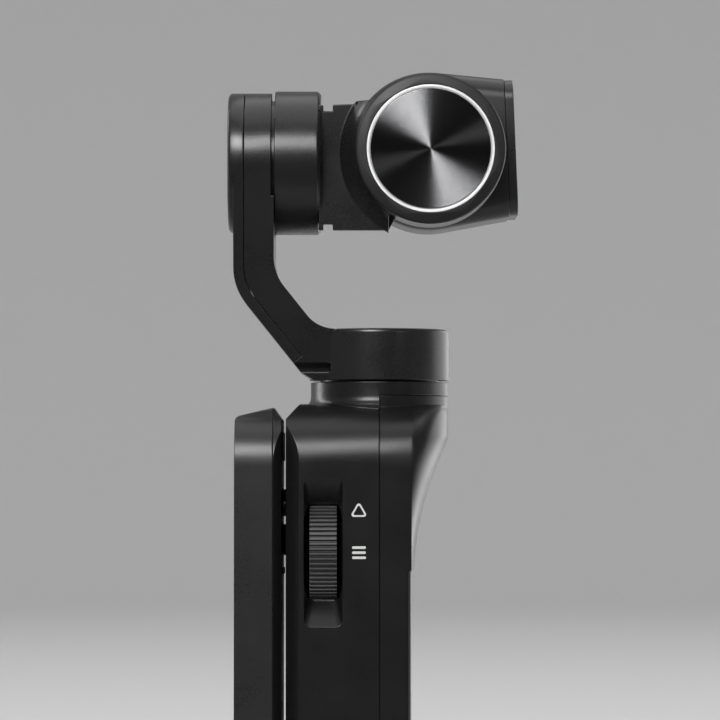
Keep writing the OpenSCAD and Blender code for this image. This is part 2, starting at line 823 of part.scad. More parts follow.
module usb_outline(grow) {
    rounded_rectangle(
        [board_x1 + seat - grow, usb_y - usb_w / 2 - grow],
        [board_x1 + seat + usb_h + grow, usb_y + usb_w / 2 + grow], usb_h / 2 - usb_skin + grow);
}
module insert_boss(grow) {
    rod_z(insert_r + insert_boss_t + grow, 0, tripod_depth + insert_floor + grow);
}
module base_plate() {
    color([0.12, 0.12, 0.13]) difference() {
        union() {
            along_z(0, base_t - seat) {
                rear_plan(0, x_part);
                front_plan();
            }
            insert_boss(0);
        }
        rod_z(insert_r + seat, -overrun, tripod_depth + insert_floor + overrun);
        along_z(-overrun, usb_lift + usb_l + overrun) usb_outline(seat);
        base_screw_holes();
        for (p = base_screw_places)
            translate([p[0], p[1], 0]) rod_z(screw_head_r + seat, -overrun, screw_sunk + screw_head_t);
    }
}
module tripod_insert() {
    color([0.75, 0.7, 0.5]) difference() {
        rod_z(insert_r, 0, tripod_depth + insert_floor);
        rod_z(tripod_thread_r, -overrun, tripod_depth);
    }
}
module base_screws() {
    color([0.3, 0.3, 0.32])
        for (p = base_screw_places)
            translate([p[0], p[1], 0]) {
                rod_z(screw_head_r, screw_sunk, screw_sunk + screw_head_t - seat);
                rod_z(screw_r, screw_sunk, base_t + base_boss_h - shell_wall - seat);
            }
}
module shell_screws() {
    color([0.3, 0.3, 0.32])
        at_shell_screws() {
            rod_x(screw_head_r, x_rear + screw_sunk, x_rear + screw_sunk + screw_head_t - seat);
            rod_x(screw_r, x_rear + screw_sunk, x_rear + shell_screw_l);
        }
}
module battery() {
    color([0.35, 0.4, 0.5])
        along_z(shell_screw_low + shell_boss_r + air, battery_z1)
            rounded_rectangle([in_x0 + air, -in_y + battery_side],
                              [mid_frame_x0 - seat, in_y - battery_side], battery_edge);
}
module inner_frame() {
    color([0.5, 0.5, 0.52]) difference() {
        union() {
            box([mid_frame_x0, mid_frame_x1], [-in_y + air, in_y - air],
                [mid_frame_low, in_z1 - mid_frame_drop]);
            for (y = [-in_y + standoff_in, in_y - standoff_in],
                 z = [mid_frame_low + standoff_in, in_z1 - mid_frame_drop - standoff_in])
                translate([0, y, z]) rod_x(standoff_r, mid_frame_x0, board_x0 - seat);
            box([wheel_x - shelf_half_h / 2, mid_frame_x1],
                [switch_front + switch_t + seat, switch_front + switch_t + seat + shelf_t],
                [wheel_z - shelf_half_h, wheel_z + shelf_half_h]);
        }
        at_shell_screws() rod_x(screw_r + air, mid_frame_x0 - overrun, mid_frame_x1 + overrun);
        wheel_well(air);
        wheel_guides(air);
    }
}
module wheel_switch() {
    color([0.7, 0.7, 0.72])
        box([wheel_x - switch_half, wheel_x + switch_half], [switch_front, switch_front + switch_t],
            [wheel_z - switch_half, wheel_z + switch_half]);
}
module main_board() {
    color([0.05, 0.3, 0.12]) difference() {
        union() {
            box([board_x0, board_x1], [-in_y + board_side, in_y - board_side],
                [board_z0, board_z1]);
            box([board_x0, board_x1], [usb_y - usb_w / 2 + air, usb_y + usb_w / 2],
                [board_tab_z, board_z0 + overrun]);
        }
        at_shell_screws() rod_x(screw_r + air, board_x0 - overrun, board_x1 + overrun);
        insert_boss(seat);
    }
}
module board_shield() {
    color([0.7, 0.7, 0.72]) difference() {
        box([board_x1 + seat, board_x1 + seat + shield_t], [-shield_half_w, shield_half_w],
            [shield_z0, shield_z0 + shield_h]);
        at_shell_screws() rod_x(shell_boss_r + air, board_x1, board_x1 + shield_t + overrun);
    }
}
module usb_socket() {
    color([0.75, 0.75, 0.77]) {
        difference() {
            along_z(usb_lift, usb_lift + usb_l) usb_outline(0);
            along_z(usb_lift - overrun, usb_lift + usb_l - board_t) usb_outline(-usb_skin);
        }
        box([board_x1 + seat + (usb_h - usb_tongue_t) / 2, board_x1 + seat + (usb_h + usb_tongue_t) / 2],
            [usb_y - usb_w / 2 + usb_h / 2, usb_y + usb_w / 2 - usb_h / 2],
            [usb_lift + board_t, usb_lift + usb_l - board_t + seam]);
    }
}
module card_socket() {
    color([0.7, 0.7, 0.72]) difference() {
        box([board_x1 + seat, board_x1 + seat + card_body_t], [in_y - air - card_body_l, in_y - air],
            [card_z - card_body_w / 2, card_z + card_body_w / 2]);
        box([board_x1 + card_lift, board_x1 + card_lift + card_t],
            [in_y - air - card_body_l + board_t, in_y],
            [card_z - card_w / 2, card_z + card_w / 2]);
    }
}
module button_board() {
    color([0.05, 0.3, 0.12]) difference() {
        box([in_x0 + button_board_back, in_x0 + button_board_back + button_board_t],
            [-button_board_half_w, button_board_half_w],
            [button_board_z0, button_board_z0 + button_board_h]);
        insert_boss(air);
    }
}
module button_switches() {
    color([0.7, 0.7, 0.72])
        for (side = [-1, 1])
            translate([in_x0 + button_board_back - seat, side * button_spacing / 2, button_z])
                box([-switch_t, 0], [-switch_half, switch_half], [-switch_half, switch_half]);
}
module round_button(side) {
    translate([0, side * button_spacing / 2, button_z]) {
        rotate([0, 90, 0]) rotate_extrude()
            polygon([
                [0, x_rear - button_proud], [button_r - button_crown, x_rear - button_proud],
                [button_r, x_rear - button_proud + button_crown], [button_r, in_x0 + air],
                [button_r + flange_over, in_x0 + air],
                [button_r + flange_over, in_x0 + air + button_flange_t],
                [0, in_x0 + air + button_flange_t]]);
    }
}
module record_button() {
    color([0.6, 0.08, 0.08]) round_button(-1);
}
module power_button() {
    color([0.16, 0.16, 0.17]) round_button(1);
}
module neck_collar() {
    color([0.11, 0.11, 0.12]) at_yaw() difference() {
        rotate_extrude() polygon([
            [0, handle_h - spigot_l], [spigot_r, handle_h - spigot_l], [spigot_r, handle_h],
            for (share = collar_curve_shares)
                [collar_r + share[1] * collar_lip, handle_h + share[0] * half_ring_h],
            [collar_r, collar_z1], [yaw_seat_r, collar_z1], [yaw_seat_r, yaw_seat_z1],
            [0, yaw_seat_z1]]);
        difference() {
            box([0, yaw_r * 2], [-yaw_r * 2, yaw_r * 2], [handle_h - overrun, handle_h + half_ring_h + seam]);
            rod_z(spigot_r, handle_h - spigot_l, collar_z1);
        }
        rod_z(yaw_shaft_r + run + yaw_bearing_t + seat, handle_h - spigot_l - overrun,
              handle_h - spigot_l + yaw_bearing_h + seat);
        rod_z(yaw_shaft_r + air, handle_h - spigot_l - overrun, yaw_seat_z1 + overrun);
    }
}
module yaw_bearing() {
    color([0.8, 0.8, 0.82]) at_yaw()
        ring_z(yaw_shaft_r + run, yaw_shaft_r + run + yaw_bearing_t,
               handle_h - spigot_l, handle_h - spigot_l + yaw_bearing_h);
}
module stator_slots_z(r, z0, z1) {
    for (i = [0 : stator_slots - 1])
        rotate([0, 0, 360 * i / stator_slots])
            box([r * slot_share, r + overrun], [-slot_w / 2, slot_w / 2], [z0 - overrun, z1 + overrun]);
}
module stator(r, bore, l) {
    difference() {
        rod_z(r, 0, l);
        rod_z(bore, -overrun, l + overrun);
        stator_slots_z(r, 0, l);
    }
}
module yaw_stator() {
    color([0.7, 0.4, 0.2]) at_yaw() translate([0, 0, yaw_seat_z1 + seat])
        stator(yaw_stator_r, yaw_shaft_r + air, ceiling_z - yaw_seat_z1 - seat - air);
}
module hinge_bracket() {
    color([0.3, 0.3, 0.32]) {
        translate([hinge_rod_x, hinge_rod_y, 0])
            rod_z(hinge_rod_r, hinge_pairs[0][0], hinge_pairs[len(hinge_pairs) - 1][1]);
        for (pair = hinge_pairs)
            difference() {
                union() {
                    at_hinge() rod_z(knuckle_r, pair[0], pair[1] - air / 2);
                    hinge_web(pair[0] + seat, pair[1] - air / 2, 0);
                }
                at_hinge() rod_z(hinge_pin_r + seat, pair[0] - overrun, pair[1] + overrun);
            }
    }
}
module hinge_pins() {
    color([0.75, 0.75, 0.78])
        for (pair = hinge_pairs) at_hinge() rod_z(hinge_pin_r, pair[0], pair[2]);
}
module microphones() {
    color([0.8, 0.75, 0.5])
        for (side = [-1, 1])
            translate([board_x1 + seat, side * mic_y, mic_z])
                box([0, mic_t], [-mic_half, mic_half], [-mic_half, mic_half]);
}
module speaker() {
    color([0.2, 0.2, 0.22])
        box([board_x1 + seat, board_x1 + seat + speaker_t],
            [speaker_y - speaker_w / 2, speaker_y + speaker_w / 2], [speaker_z0, speaker_z0 + speaker_h]);
}

// Thumb wheel
module wheel_carrier() {
    color([0.35, 0.35, 0.37]) at_wheel() {
        for (side = [-1, 1])
            translate([side * (carrier_half - carrier_wall / 2), 0, 0])
                box([-carrier_wall / 2, carrier_wall / 2],
                    [-carrier_front, carrier_back - wheel_y + carrier_back_t],
                    [-carrier_half_h, carrier_half_h]);
        box([-carrier_half, carrier_half],
            [carrier_back - wheel_y, carrier_back - wheel_y + carrier_back_t],
            [-carrier_half_h, carrier_half_h]);
        rod_x(axle_r, -carrier_half, carrier_half);
    }
}
module thumb_wheel() {
    pitch = 360 / wheel_ribs;
    color([0.1, 0.1, 0.1]) at_wheel() difference() {
        along_x(-wheel_w / 2, wheel_w / 2)
            polygon([for (i = [0 : wheel_ribs - 1], k = [0 : len(rib_turn_shares) - 1])
                let (a = (i + rib_turn_shares[k]) * pitch)
                (wheel_r - rib_depth * (1 - rib_height_shares[k])) * [cos(a), sin(a)]]);
        rod_x(axle_r + run, -wheel_w, wheel_w);
    }
}

// Flip-out screen
module screen_face(inset) {
    rounded_rectangle([screen_y0 + inset, screen_z0 + inset],
                      [screen_y1 - inset, screen_z1 - screen_slant * (inset > 0 ? 1 : 0) - inset],
                      screen_corner_r - min(inset, screen_corner_r / 2));
}
module screen_side_outline() {
    polygon(rounded(
        [[frame_x0, screen_z0], [frame_x1, screen_z0], [frame_x1, screen_z1],
         [frame_x0, screen_z1 - screen_slant]],
        [screen_edge_r, 0, 0, screen_edge_r]));
}
module leaf_pocket(grow, x1) {
    top = hinge_pairs[len(hinge_pairs) - 1][2];
    box([frame_x1 - leaf_t - seat - grow, x1],
        [screen_y1 - frame_side_wall - leaf_w - grow, screen_y1 - frame_side_wall],
        [hinge_pairs[0][1] - grow, top + grow]);
}
// Stations of the leaf: the upper knuckle of each pair and the cable barrel
leaf_stations = concat([for (pair = hinge_pairs) [pair[1] + air / 2, pair[2]]],
                       [[cable_barrel[0], cable_barrel[2]]]);
module leaf_tab(station, grow, x1) {
    box([frame_x1 - leaf_t - seat - grow, x1],
        [screen_y1 - frame_side_wall - overrun, screen_y1 + overrun],
        [station[0] - grow, station[1] + grow]);
}
module screen_frame() {
    color([0.2, 0.2, 0.21]) difference() {
        intersection() {
            along_y(screen_y0, screen_y1) screen_side_outline();
            along_x(frame_x0 - overrun, frame_x1 + overrun) screen_face(0);
        }
        along_x(frame_x0 - overrun, frame_x0 + glass_t) screen_face(glass_lip);
        along_x(frame_x0, frame_x0 + glass_t + panel_t) screen_face(glass_lip + panel_lip);
        leaf_pocket(seat, frame_x1 + overrun);
        for (station = leaf_stations) leaf_tab(station, seat, frame_x1 + overrun);
    }
}
module screen_back_cover() {
    color([0.08, 0.08, 0.09]) intersection() {
        along_y(screen_y0, screen_y1) polygon([
            [frame_x1 + seat, screen_z0], [screen_x1, screen_z0 + cover_chamfer],
            [screen_x1, screen_z1 - cover_chamfer], [frame_x1 + seat, screen_z1]]);
        along_z(screen_z0, screen_z1) polygon([
            [frame_x1 + seat, screen_y0], [screen_x1, screen_y0 + cover_chamfer],
            [screen_x1, screen_y1 - cover_chamfer], [frame_x1 + seat, screen_y1]]);
        along_x(frame_x1 - overrun, screen_x1 + overrun) screen_face(0);
    }
}
module cover_glass() {
    color([0.05, 0.05, 0.06])
        along_x(frame_x0 + seat, frame_x0 + glass_t - seat) screen_face(glass_lip + seat);
}
module display_panel() {
    color([0.1, 0.1, 0.12])
        along_x(frame_x0 + glass_t, frame_x0 + glass_t + panel_t - seat)
            screen_face(glass_lip + panel_lip + seat);
}
module screen_hinge_leaf() {
    color([0.3, 0.3, 0.32]) {
        leaf_pocket(0, frame_x1 - seat);
        for (station = leaf_stations) {
            leaf_tab(station, 0, frame_x1 - seat);
            difference() {
                union() {
                    at_hinge() rod_z(knuckle_r, station[0], station[1]);
                    box([frame_x1 - leaf_t - seat, screen_x1 - air], [screen_y1 + seat, hinge_y],
                        [station[0], station[1]]);
                }
                at_hinge() rod_z(hinge_pin_r + run, station[0] - overrun, station[1] + overrun);
            }
        }
    }
}
module screen_bumper(share, h) {
    translate([0, 0, screen_z0 + share * screen_len])
        box([screen_x1 + seat, screen_x1 + bumper_t],
            [screen_y0 + screen_corner_r, screen_y0 + screen_corner_r + bumper_w], [-h / 2, h / 2]);
}
module screen_bumpers() {
    color([0.1, 0.1, 0.1]) {
        for (share = bumper_shares) screen_bumper(share, bumper_h);
        screen_bumper(latch_share, latch_h);
    }
}

// Yaw arm: its side outline follows the back line of the arm, moved inward by d
function arm_line(d, top) =
    let (s = sin(arm_lean_deg), c = cos(arm_lean_deg))
    [[d - arm_back, top],
     [d - arm_back, knee_z + d * tan(arm_lean_deg / 2)],
     [lean_run * s + d * c - arm_back, knee_z - lean_run * c + d * s]];
function arm_band(d0, d1, top) =
    let (outer = arm_line(d0, top), inner = arm_line(d1, top))
    rounded([outer[0], outer[1], outer[2], inner[2], inner[1], inner[0]],
            [0, knee_r - d0, 0, 0, knee_r - d1, 0]);
function arm_core_outline() =
    let (top = roll_z + head_r + overrun,
         seam_line = arm_line(arm_cover_t + seam, top), back = arm_line(0, top),
         slope = tan(arm_lean_deg), front_x = arm_t - arm_back,
         front_z = knee_z + arm_t * tan(arm_lean_deg / 2), heel_z = housing_z0 + heel_h)
    rounded(
        [seam_line[0], seam_line[1], seam_line[2], back[2],
         [(knee_z - heel_z) * slope - arm_back, heel_z],
         [heel_back - yaw_r, housing_z0], [-arm_core_back, housing_z0], [-arm_core_back, housing_z1],
         [front_x + (front_z - housing_z1) * slope, housing_z1], [front_x, front_z], [front_x, top]],
        [0, knee_r - arm_cover_t, 0, 0, heel_r, 0, 0, 0, foot_r, inner_knee_r, 0]);
module arm_width_outline() {
    translate([0, roll_z]) circle(r = head_r);
    polygon([[-arm_foot_w / 2, housing_z0], [arm_foot_w / 2, housing_z0],
             [head_r, roll_z], [-head_r, roll_z]]);
}
module arm_undercut() {
    top = housing_z0 + heel_h + undercut_h;
    for (side = [-1, 1])
        translate([0, side * (arm_foot_w / 2 + yaw_r / 2 - undercut_depth), 0])
            along_y(-yaw_r / 2, yaw_r / 2) polygon(rounded([
                [-yaw_r * 2, housing_z0 + heel_h], [-yaw_r * 2, top],
                [undercut_reach - yaw_r - heel_r, top],
                [undercut_reach - yaw_r - heel_r, housing_z0 + heel_h]],
                [0, 0, undercut_r, undercut_r], edge_steps));
}
module arm_screw_places() {
    for (i = [0 : arm_screw_count - 1])
        translate([0, 0, roll_z]) rotate([360 * i / arm_screw_count, 0, 0])
            translate([0, 0, arm_screw_ring]) children();
}
module yaw_arm() {
    color([0.12, 0.12, 0.13]) at_yaw() difference() {
        union() {
            rotate_extrude() polygon([
                [0, housing_z0], [yaw_r, housing_z0], [yaw_r, housing_z1 - housing_edge],
                [yaw_r - housing_edge / 3, housing_z1 - housing_edge / 3],
                [yaw_r - housing_edge, housing_z1], [0, housing_z1]]);
            difference() {
                intersection() {
                    along_y(-head_r, head_r) polygon(arm_core_outline());
                    along_x(-arm_back * 2, arm_back) arm_width_outline();
                }
                translate([0, 0, roll_z]) rod_x(rotor_r + roll_gap, head_x1, arm_back);
            }
            translate([0, 0, roll_z]) rod_x(roll_seat_r, head_x1 - overrun, roll_seat_x1);
        }
        rod_z(yaw_r - motor_wall, housing_z0 - overrun, ceiling_z);
        rod_z(yaw_shaft_r + seat, ceiling_z - overrun, ceiling_z + lid_t / 2);
        arm_undercut();
        translate([0, 0, roll_z])
            rod_x(tilt_shaft_r + run + tilt_bearing_t + seat, head_x0 + cover_head_t + head_floor,
                  roll_seat_x1 + overrun);
        along_y(-flex_w / 2 - seat, flex_w / 2 + seat)
            polygon(arm_band(arm_cover_t, arm_cover_t + flex_room, roll_z - flex_top_drop));
        arm_screw_places() {
            rod_x(arm_screw_r + seat, head_x0, head_x1 + overrun);
            rod_x(arm_screw_head_r + seat, head_x1 - arm_screw_head_t, roll_seat_x1 + overrun);
        }
    }
}
module arm_cover() {
    color([0.11, 0.11, 0.12]) at_yaw() difference() {
        union() {
            intersection() {
                along_y(-head_r, head_r) polygon(arm_band(0, arm_cover_t, roll_z));
                along_x(-arm_back * 2, arm_back) arm_width_outline();
            }
            translate([0, 0, roll_z]) rotate([0, 90, 0]) rotate_extrude() polygon([
                [0, head_x0], [head_r - head_edge, head_x0],
                [head_r - head_edge / 3, head_x0 + head_edge / 3], [head_r, head_x0 + head_edge],
                [head_r, head_x0 + cover_head_t], [0, head_x0 + cover_head_t]]);
        }
        arm_screw_places() rod_x(arm_screw_r + seat, head_x0 + head_floor, head_x1);
    }
}
module arm_screws() {
    color([0.6, 0.6, 0.62]) at_yaw() arm_screw_places() {
        rod_x(arm_screw_r, head_x0 + head_floor + seat, head_x1 - seat);
        rod_x(arm_screw_head_r, head_x1 - arm_screw_head_t + seat, head_x1 - seat);
    }
}
module arm_flex_cable() {
    color([0.7, 0.45, 0.15]) at_yaw()
        along_y(-flex_w / 2, flex_w / 2)
            polygon(arm_band(arm_cover_t + seam, arm_cover_t + seam + flex_t, roll_z - flex_top_drop - air));
}
module yaw_magnet_ring() {
    color([0.5, 0.5, 0.52]) at_yaw()
        ring_z(yaw_magnet_out_r - magnet_t, yaw_magnet_out_r, ceiling_z - yaw_magnet_h, ceiling_z - seat);
}
module yaw_shaft() {
    color([0.8, 0.8, 0.82]) at_yaw() rod_z(yaw_shaft_r, yaw_shaft_z0, ceiling_z + lid_t / 2 - seat);
}
module roll_stator() {
    color([0.7, 0.4, 0.2]) at_roll() translate([roll_seat_x1 + seat, 0, 0]) rotate([0, 90, 0])
        stator(roll_stator_r, tilt_shaft_r + air, rotor_x1 - rotor_front_t - air - roll_seat_x1 - seat);
}
module roll_bearing() {
    color([0.8, 0.8, 0.82]) at_roll()
        ring_x(tilt_shaft_r + run, tilt_shaft_r + run + tilt_bearing_t,
               head_x0 + cover_head_t + head_floor + seat,
               head_x0 + cover_head_t + head_floor + seat + tilt_bearing_l);
}

// Roll arm: rotor can, side plate and the can of the pitch motor
module roll_bracket() {
    plate_z0 = -plate_down;
    rise = pitch_rise;
    color([0.13, 0.13, 0.14]) at_roll() difference() {
        union() {
            rotate([0, 90, 0]) rotate_extrude() polygon([
                [0, rotor_x0], [rotor_r, rotor_x0], [rotor_r, rotor_x1 - rotor_edge],
                [rotor_r - rotor_edge, rotor_x1], [0, rotor_x1]]);
            rod_x(flange_r, rotor_x1 - overrun, rotor_x1 + flange_t);
            along_y(-plate_out, -plate_in) polygon([
                [rotor_x1 - overrun, plate_z0], [pitch_ahead - flare_start_back, plate_z0],
                [pitch_ahead, rise], [pitch_ahead, plate_up + plate_rise], [rotor_x1 - overrun, plate_up]]);
            translate([pitch_ahead, 0, rise]) rod_y(can_r, -can_face, -plate_in);
            intersection() {
                translate([pitch_ahead, 0, rise]) rotate([-90, 0, 0]) rotate_extrude() polygon([
                    [0, -plate_out - flare_h], [can_r, -plate_out - flare_h],
                    [can_r + (flare_r - can_r) / 3, -plate_out - flare_h / 2], [flare_r, -plate_out],
                    [flare_r, -plate_in], [0, -plate_in]]);
                box([rotor_x1, pitch_ahead - flare_start_back], [-can_face, 0],
                    [plate_z0 - overrun, plate_up + plate_rise]);
            }
        }
        translate([pitch_ahead, 0, rise])
            rod_y(can_r - can_wall, -can_floor, -plate_in + overrun);
        rod_x(rotor_r - rotor_wall, rotor_x0 - overrun, rotor_x1 - rotor_front_t);
        rod_x(tilt_shaft_r + seat, rotor_x1 - rotor_front_t - overrun, rotor_x1 + flange_t + overrun);
        for (z = [[plate_z0 - overrun, plate_z0 + corner_notch_h],
                  [plate_up - corner_notch_h, plate_up + plate_rise]])
            box([rotor_x1 + corner_notch_gap, rotor_x1 + corner_notch_gap + corner_notch_l],
                [-plate_out - overrun, -plate_in + overrun], z);
    }
}
module roll_magnet_ring() {
    color([0.5, 0.5, 0.52]) at_roll()
        ring_x(magnet_in_r, magnet_out_r, rotor_x0 + roll_gap, rotor_x1 - rotor_front_t - seat);
}
module roll_shaft() {
    color([0.8, 0.8, 0.82]) at_roll()
        rod_x(tilt_shaft_r, head_x0 + cover_head_t + head_floor + air, rotor_x1 + flange_t);
}
module pitch_stator() {
    color([0.7, 0.4, 0.2]) at_pitch() translate([0, seat - can_floor, 0]) rotate([-90, 0, 0])
        stator(pitch_stator_r, tilt_shaft_r + run + tilt_bearing_t + seat, pitch_stator_l);
}
module pitch_bearing() {
    color([0.8, 0.8, 0.82]) at_pitch()
        ring_y(tilt_shaft_r + run, tilt_shaft_r + run + tilt_bearing_t,
               seat - can_floor, seat - can_floor + tilt_bearing_l);
}
module pitch_bezel() {
    color([0.1, 0.1, 0.11]) at_pitch() difference() {
        rotate([90, 0, 0]) rotate_extrude() polygon([
            [0, can_face + seat], [can_r, can_face + seat], [can_r, bezel_face - bezel_edge],
            [can_r - bezel_edge / 3, bezel_face - bezel_edge / 3], [can_r - bezel_edge, bezel_face],
            [0, bezel_face]]);
        rod_y(trim_r + seat, -bezel_face - overrun, -can_face - bezel_t / 2);
    }
}
module pitch_disc() {
    color([0.3, 0.3, 0.32]) at_pitch()
        rod_y(disc_r - seat, -can_face - bezel_t / 2 - disc_t, -can_face - bezel_t / 2 - seat);
}
module pitch_trim_ring() {
    color([0.9, 0.9, 0.92]) at_pitch() rotate([90, 0, 0]) rotate_extrude() polygon([
        [disc_r, can_face + bezel_t / 2 + seat], [trim_r, can_face + bezel_t / 2 + seat],
        [trim_r, bezel_face], [trim_r - (trim_w - trim_chamfer), bezel_face],
        [disc_r, bezel_face - trim_chamfer]]);
}

module at_body() {
    at_camera() translate([0, 0, camera_rise]) children();
}

// Camera: drum and snout as rows across the width, drawn in by the rounded edges
function camera_row(d, y) =
    let (r = drum_r - d, half = (r - snout_x1 * sin(snout_taper_deg)) / cos(snout_taper_deg),
         a1 = 90 - snout_taper_deg)
    concat([[snout_x1, y, -half]],
           [for (i = [0 : drum_steps])
               let (a = -a1 - (360 - 2 * a1) * i / drum_steps) [r * cos(a), y, r * sin(a)]],
           [[snout_x1, y, half]]);
camera_insets = [for (i = [0 : camera_edge_steps])
    camera_edge_r * [1 - sin(90 * i / camera_edge_steps), 1 - cos(90 * i / camera_edge_steps)]];
module camera_solid() {
    skin(concat(
        [for (s = camera_insets) camera_row(s[0], cam_y0 + s[1])],
        [for (i = [camera_edge_steps : -1 : 0])
            camera_row(camera_insets[i][0], cam_y1 - camera_insets[i][1])]));
}
module camera_shell() {
    color([0.13, 0.13, 0.14]) at_body() difference() {
        camera_solid();
        rod_y(drum_r - camera_wall - camera_edge_r / 3, cam_y0 + camera_wall, cam_y1 - camera_wall);
        box([0, snout_x1 + overrun], [cam_y0 + camera_edge_r / 2, cam_y1 - camera_edge_r / 2],
            [camera_edge_r / 2 - snout_half_h, snout_half_h - camera_edge_r / 2]);
        translate([0, 0, -camera_rise])
            rod_y(tilt_shaft_r + seat, cam_y0 - overrun, cam_y0 + camera_wall + overrun);
    }
}
module front_outline() {
    rounded_rectangle([cam_y0, -snout_half_h], [cam_y1, snout_half_h], camera_edge_r);
}
module camera_front_bezel() {
    color([0.1, 0.1, 0.11]) at_body() difference() {
        along_x(snout_x1 + seat, snout_reach) front_outline();
        translate([0, lens_y, 0]) rod_x(lens_hole_r, snout_x1 - overrun, snout_reach + overrun);
    }
}
module at_lens() {
    at_body() translate([0, lens_y, 0]) children();
}
module lens_ring() {
    color([0.2, 0.2, 0.21]) at_lens()
        ring_x(lens_hole_r - lens_ring_w, lens_hole_r - seat, snout_reach - lens_ring_t, snout_reach);
}
module front_glass() {
    color([0.1, 0.12, 0.15]) at_lens()
        rod_x(lens_hole_r - lens_ring_w - seat, snout_reach - lens_glass_drop - lens_glass_t,
              snout_reach - lens_glass_drop);
}
module lens_barrel() {
    color([0.08, 0.08, 0.08]) at_lens() difference() {
        rod_x(barrel_r, barrel_back, snout_reach - lens_ring_t - seat);
        rod_x(barrel_r - barrel_wall, barrel_back + sensor_t + seam, snout_reach);
        box([barrel_back - overrun, barrel_back + sensor_t * 2],
            [-sensor_half - seat, sensor_half + seat], [-sensor_half - seat, sensor_half + seat]);
    }
}
module lens_elements() {
    span = snout_reach - lens_ring_t - barrel_back - sensor_t - seam * 2;
    color([0.2, 0.25, 0.3]) at_lens()
        for (i = [0 : lens_count - 1])
            translate([barrel_back + sensor_t + seam * 2 + i * (span - lens_t) / (lens_count - 1), 0, 0])
                rod_x(barrel_r - barrel_wall - seat, 0, lens_t);
}
module image_sensor_board() {
    color([0.05, 0.3, 0.12]) at_lens() {
        box([barrel_back - sensor_board_t - seat, barrel_back - seat],
            [-sensor_board_half, sensor_board_half], [-sensor_board_half, sensor_board_half]);
        box([barrel_back - seat - seam, barrel_back + sensor_t],
            [-sensor_half, sensor_half], [-sensor_half, sensor_half]);
    }
}
module pitch_magnet_ring() {
    color([0.5, 0.5, 0.52]) at_camera()
        ring_y(can_magnet_in_r, can_magnet_out_r, cam_y0 - pitch_magnet_reach, cam_y0 - seat);
}
module pitch_shaft() {
    color([0.8, 0.8, 0.82]) at_camera()
        rod_y(tilt_shaft_r, air - can_floor, cam_y0 + shaft_grip);
}

rear_shell();
front_shell();
base_plate();
tripod_insert();
base_screws();
shell_screws();
battery();
inner_frame();
main_board();
board_shield();
usb_socket();
card_socket();
button_board();
button_switches();
wheel_switch();
neck_collar();
yaw_stator();
yaw_bearing();
hinge_bracket();
hinge_pins();
microphones();
speaker();
record_button();
power_button();
wheel_carrier();
thumb_wheel();
screen_frame();
screen_back_cover();
cover_glass();
display_panel();
screen_hinge_leaf();
screen_bumpers();
yaw_arm();
arm_cover();
yaw_magnet_ring();
yaw_shaft();
roll_stator();
roll_bearing();
arm_screws();
arm_flex_cable();
roll_bracket();
roll_magnet_ring();
roll_shaft();
pitch_stator();
pitch_bezel();
pitch_disc();
pitch_trim_ring();
pitch_bearing();
camera_shell();
camera_front_bezel();
lens_ring();
front_glass();
lens_barrel();
lens_elements();
image_sensor_board();
pitch_magnet_ring();
pitch_shaft();
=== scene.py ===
# Looks of a handheld three-axis gimbal camera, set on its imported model. Lengths are in metres.
import json
import math

import bmesh
import bpy
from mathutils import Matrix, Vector


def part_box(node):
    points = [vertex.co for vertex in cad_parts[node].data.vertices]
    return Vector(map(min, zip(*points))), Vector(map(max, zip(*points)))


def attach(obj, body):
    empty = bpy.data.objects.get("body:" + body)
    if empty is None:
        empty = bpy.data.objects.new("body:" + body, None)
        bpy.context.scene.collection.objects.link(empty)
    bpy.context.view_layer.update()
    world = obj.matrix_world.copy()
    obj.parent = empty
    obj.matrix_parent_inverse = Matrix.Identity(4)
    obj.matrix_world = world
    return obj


MM = 0.001

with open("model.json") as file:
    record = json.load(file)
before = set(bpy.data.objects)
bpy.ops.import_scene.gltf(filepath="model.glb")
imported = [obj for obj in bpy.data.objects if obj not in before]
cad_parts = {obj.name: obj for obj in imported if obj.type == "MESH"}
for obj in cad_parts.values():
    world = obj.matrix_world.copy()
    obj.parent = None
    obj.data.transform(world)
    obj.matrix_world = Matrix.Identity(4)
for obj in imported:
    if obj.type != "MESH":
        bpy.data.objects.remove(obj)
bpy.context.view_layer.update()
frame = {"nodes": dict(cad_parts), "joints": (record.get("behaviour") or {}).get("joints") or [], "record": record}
nodes = frame["nodes"]
joints = {joint["name"]: joint for joint in frame["joints"]}


# The photograph: its pixel grid on the upright plane through the handle
PIXEL = 0.172 * MM
AXIS_PX = 379.5
BASE_PX = 916.6
LEVEL_PX = (355, 470)
CENTRE_PX = (360, 360)
DISTANCE = 0.7
SENSOR = 36
IMAGE_PX = 720
yaw_x = joints["yaw"]["pos_m"][0]


def on_plane(px, y=0.0):
    """The place on an upright plane at depth y that the photograph shows at a pixel."""
    share = (DISTANCE + y) / DISTANCE
    level_x = yaw_x + (LEVEL_PX[0] - AXIS_PX) * PIXEL
    level_z = (BASE_PX - LEVEL_PX[1]) * PIXEL
    return Vector((level_x + (px[0] - LEVEL_PX[0]) * PIXEL * share, y,
                   level_z + (LEVEL_PX[1] - px[1]) * PIXEL * share))


def make_camera():
    eye = on_plane(LEVEL_PX) - Vector((0, DISTANCE, 0))
    target = on_plane(CENTRE_PX)
    data = bpy.data.cameras.new("camera")
    data.sensor_width = SENSOR
    data.lens = SENSOR * (target - eye).length / (IMAGE_PX * PIXEL)
    data.clip_start, data.clip_end = 0.01, 20
    camera = bpy.data.objects.new("camera", data)
    camera.location = eye
    camera.rotation_euler = (target - eye).to_track_quat("-Z", "Y").to_euler()
    bpy.context.scene.collection.objects.link(camera)
    bpy.context.scene.camera = camera


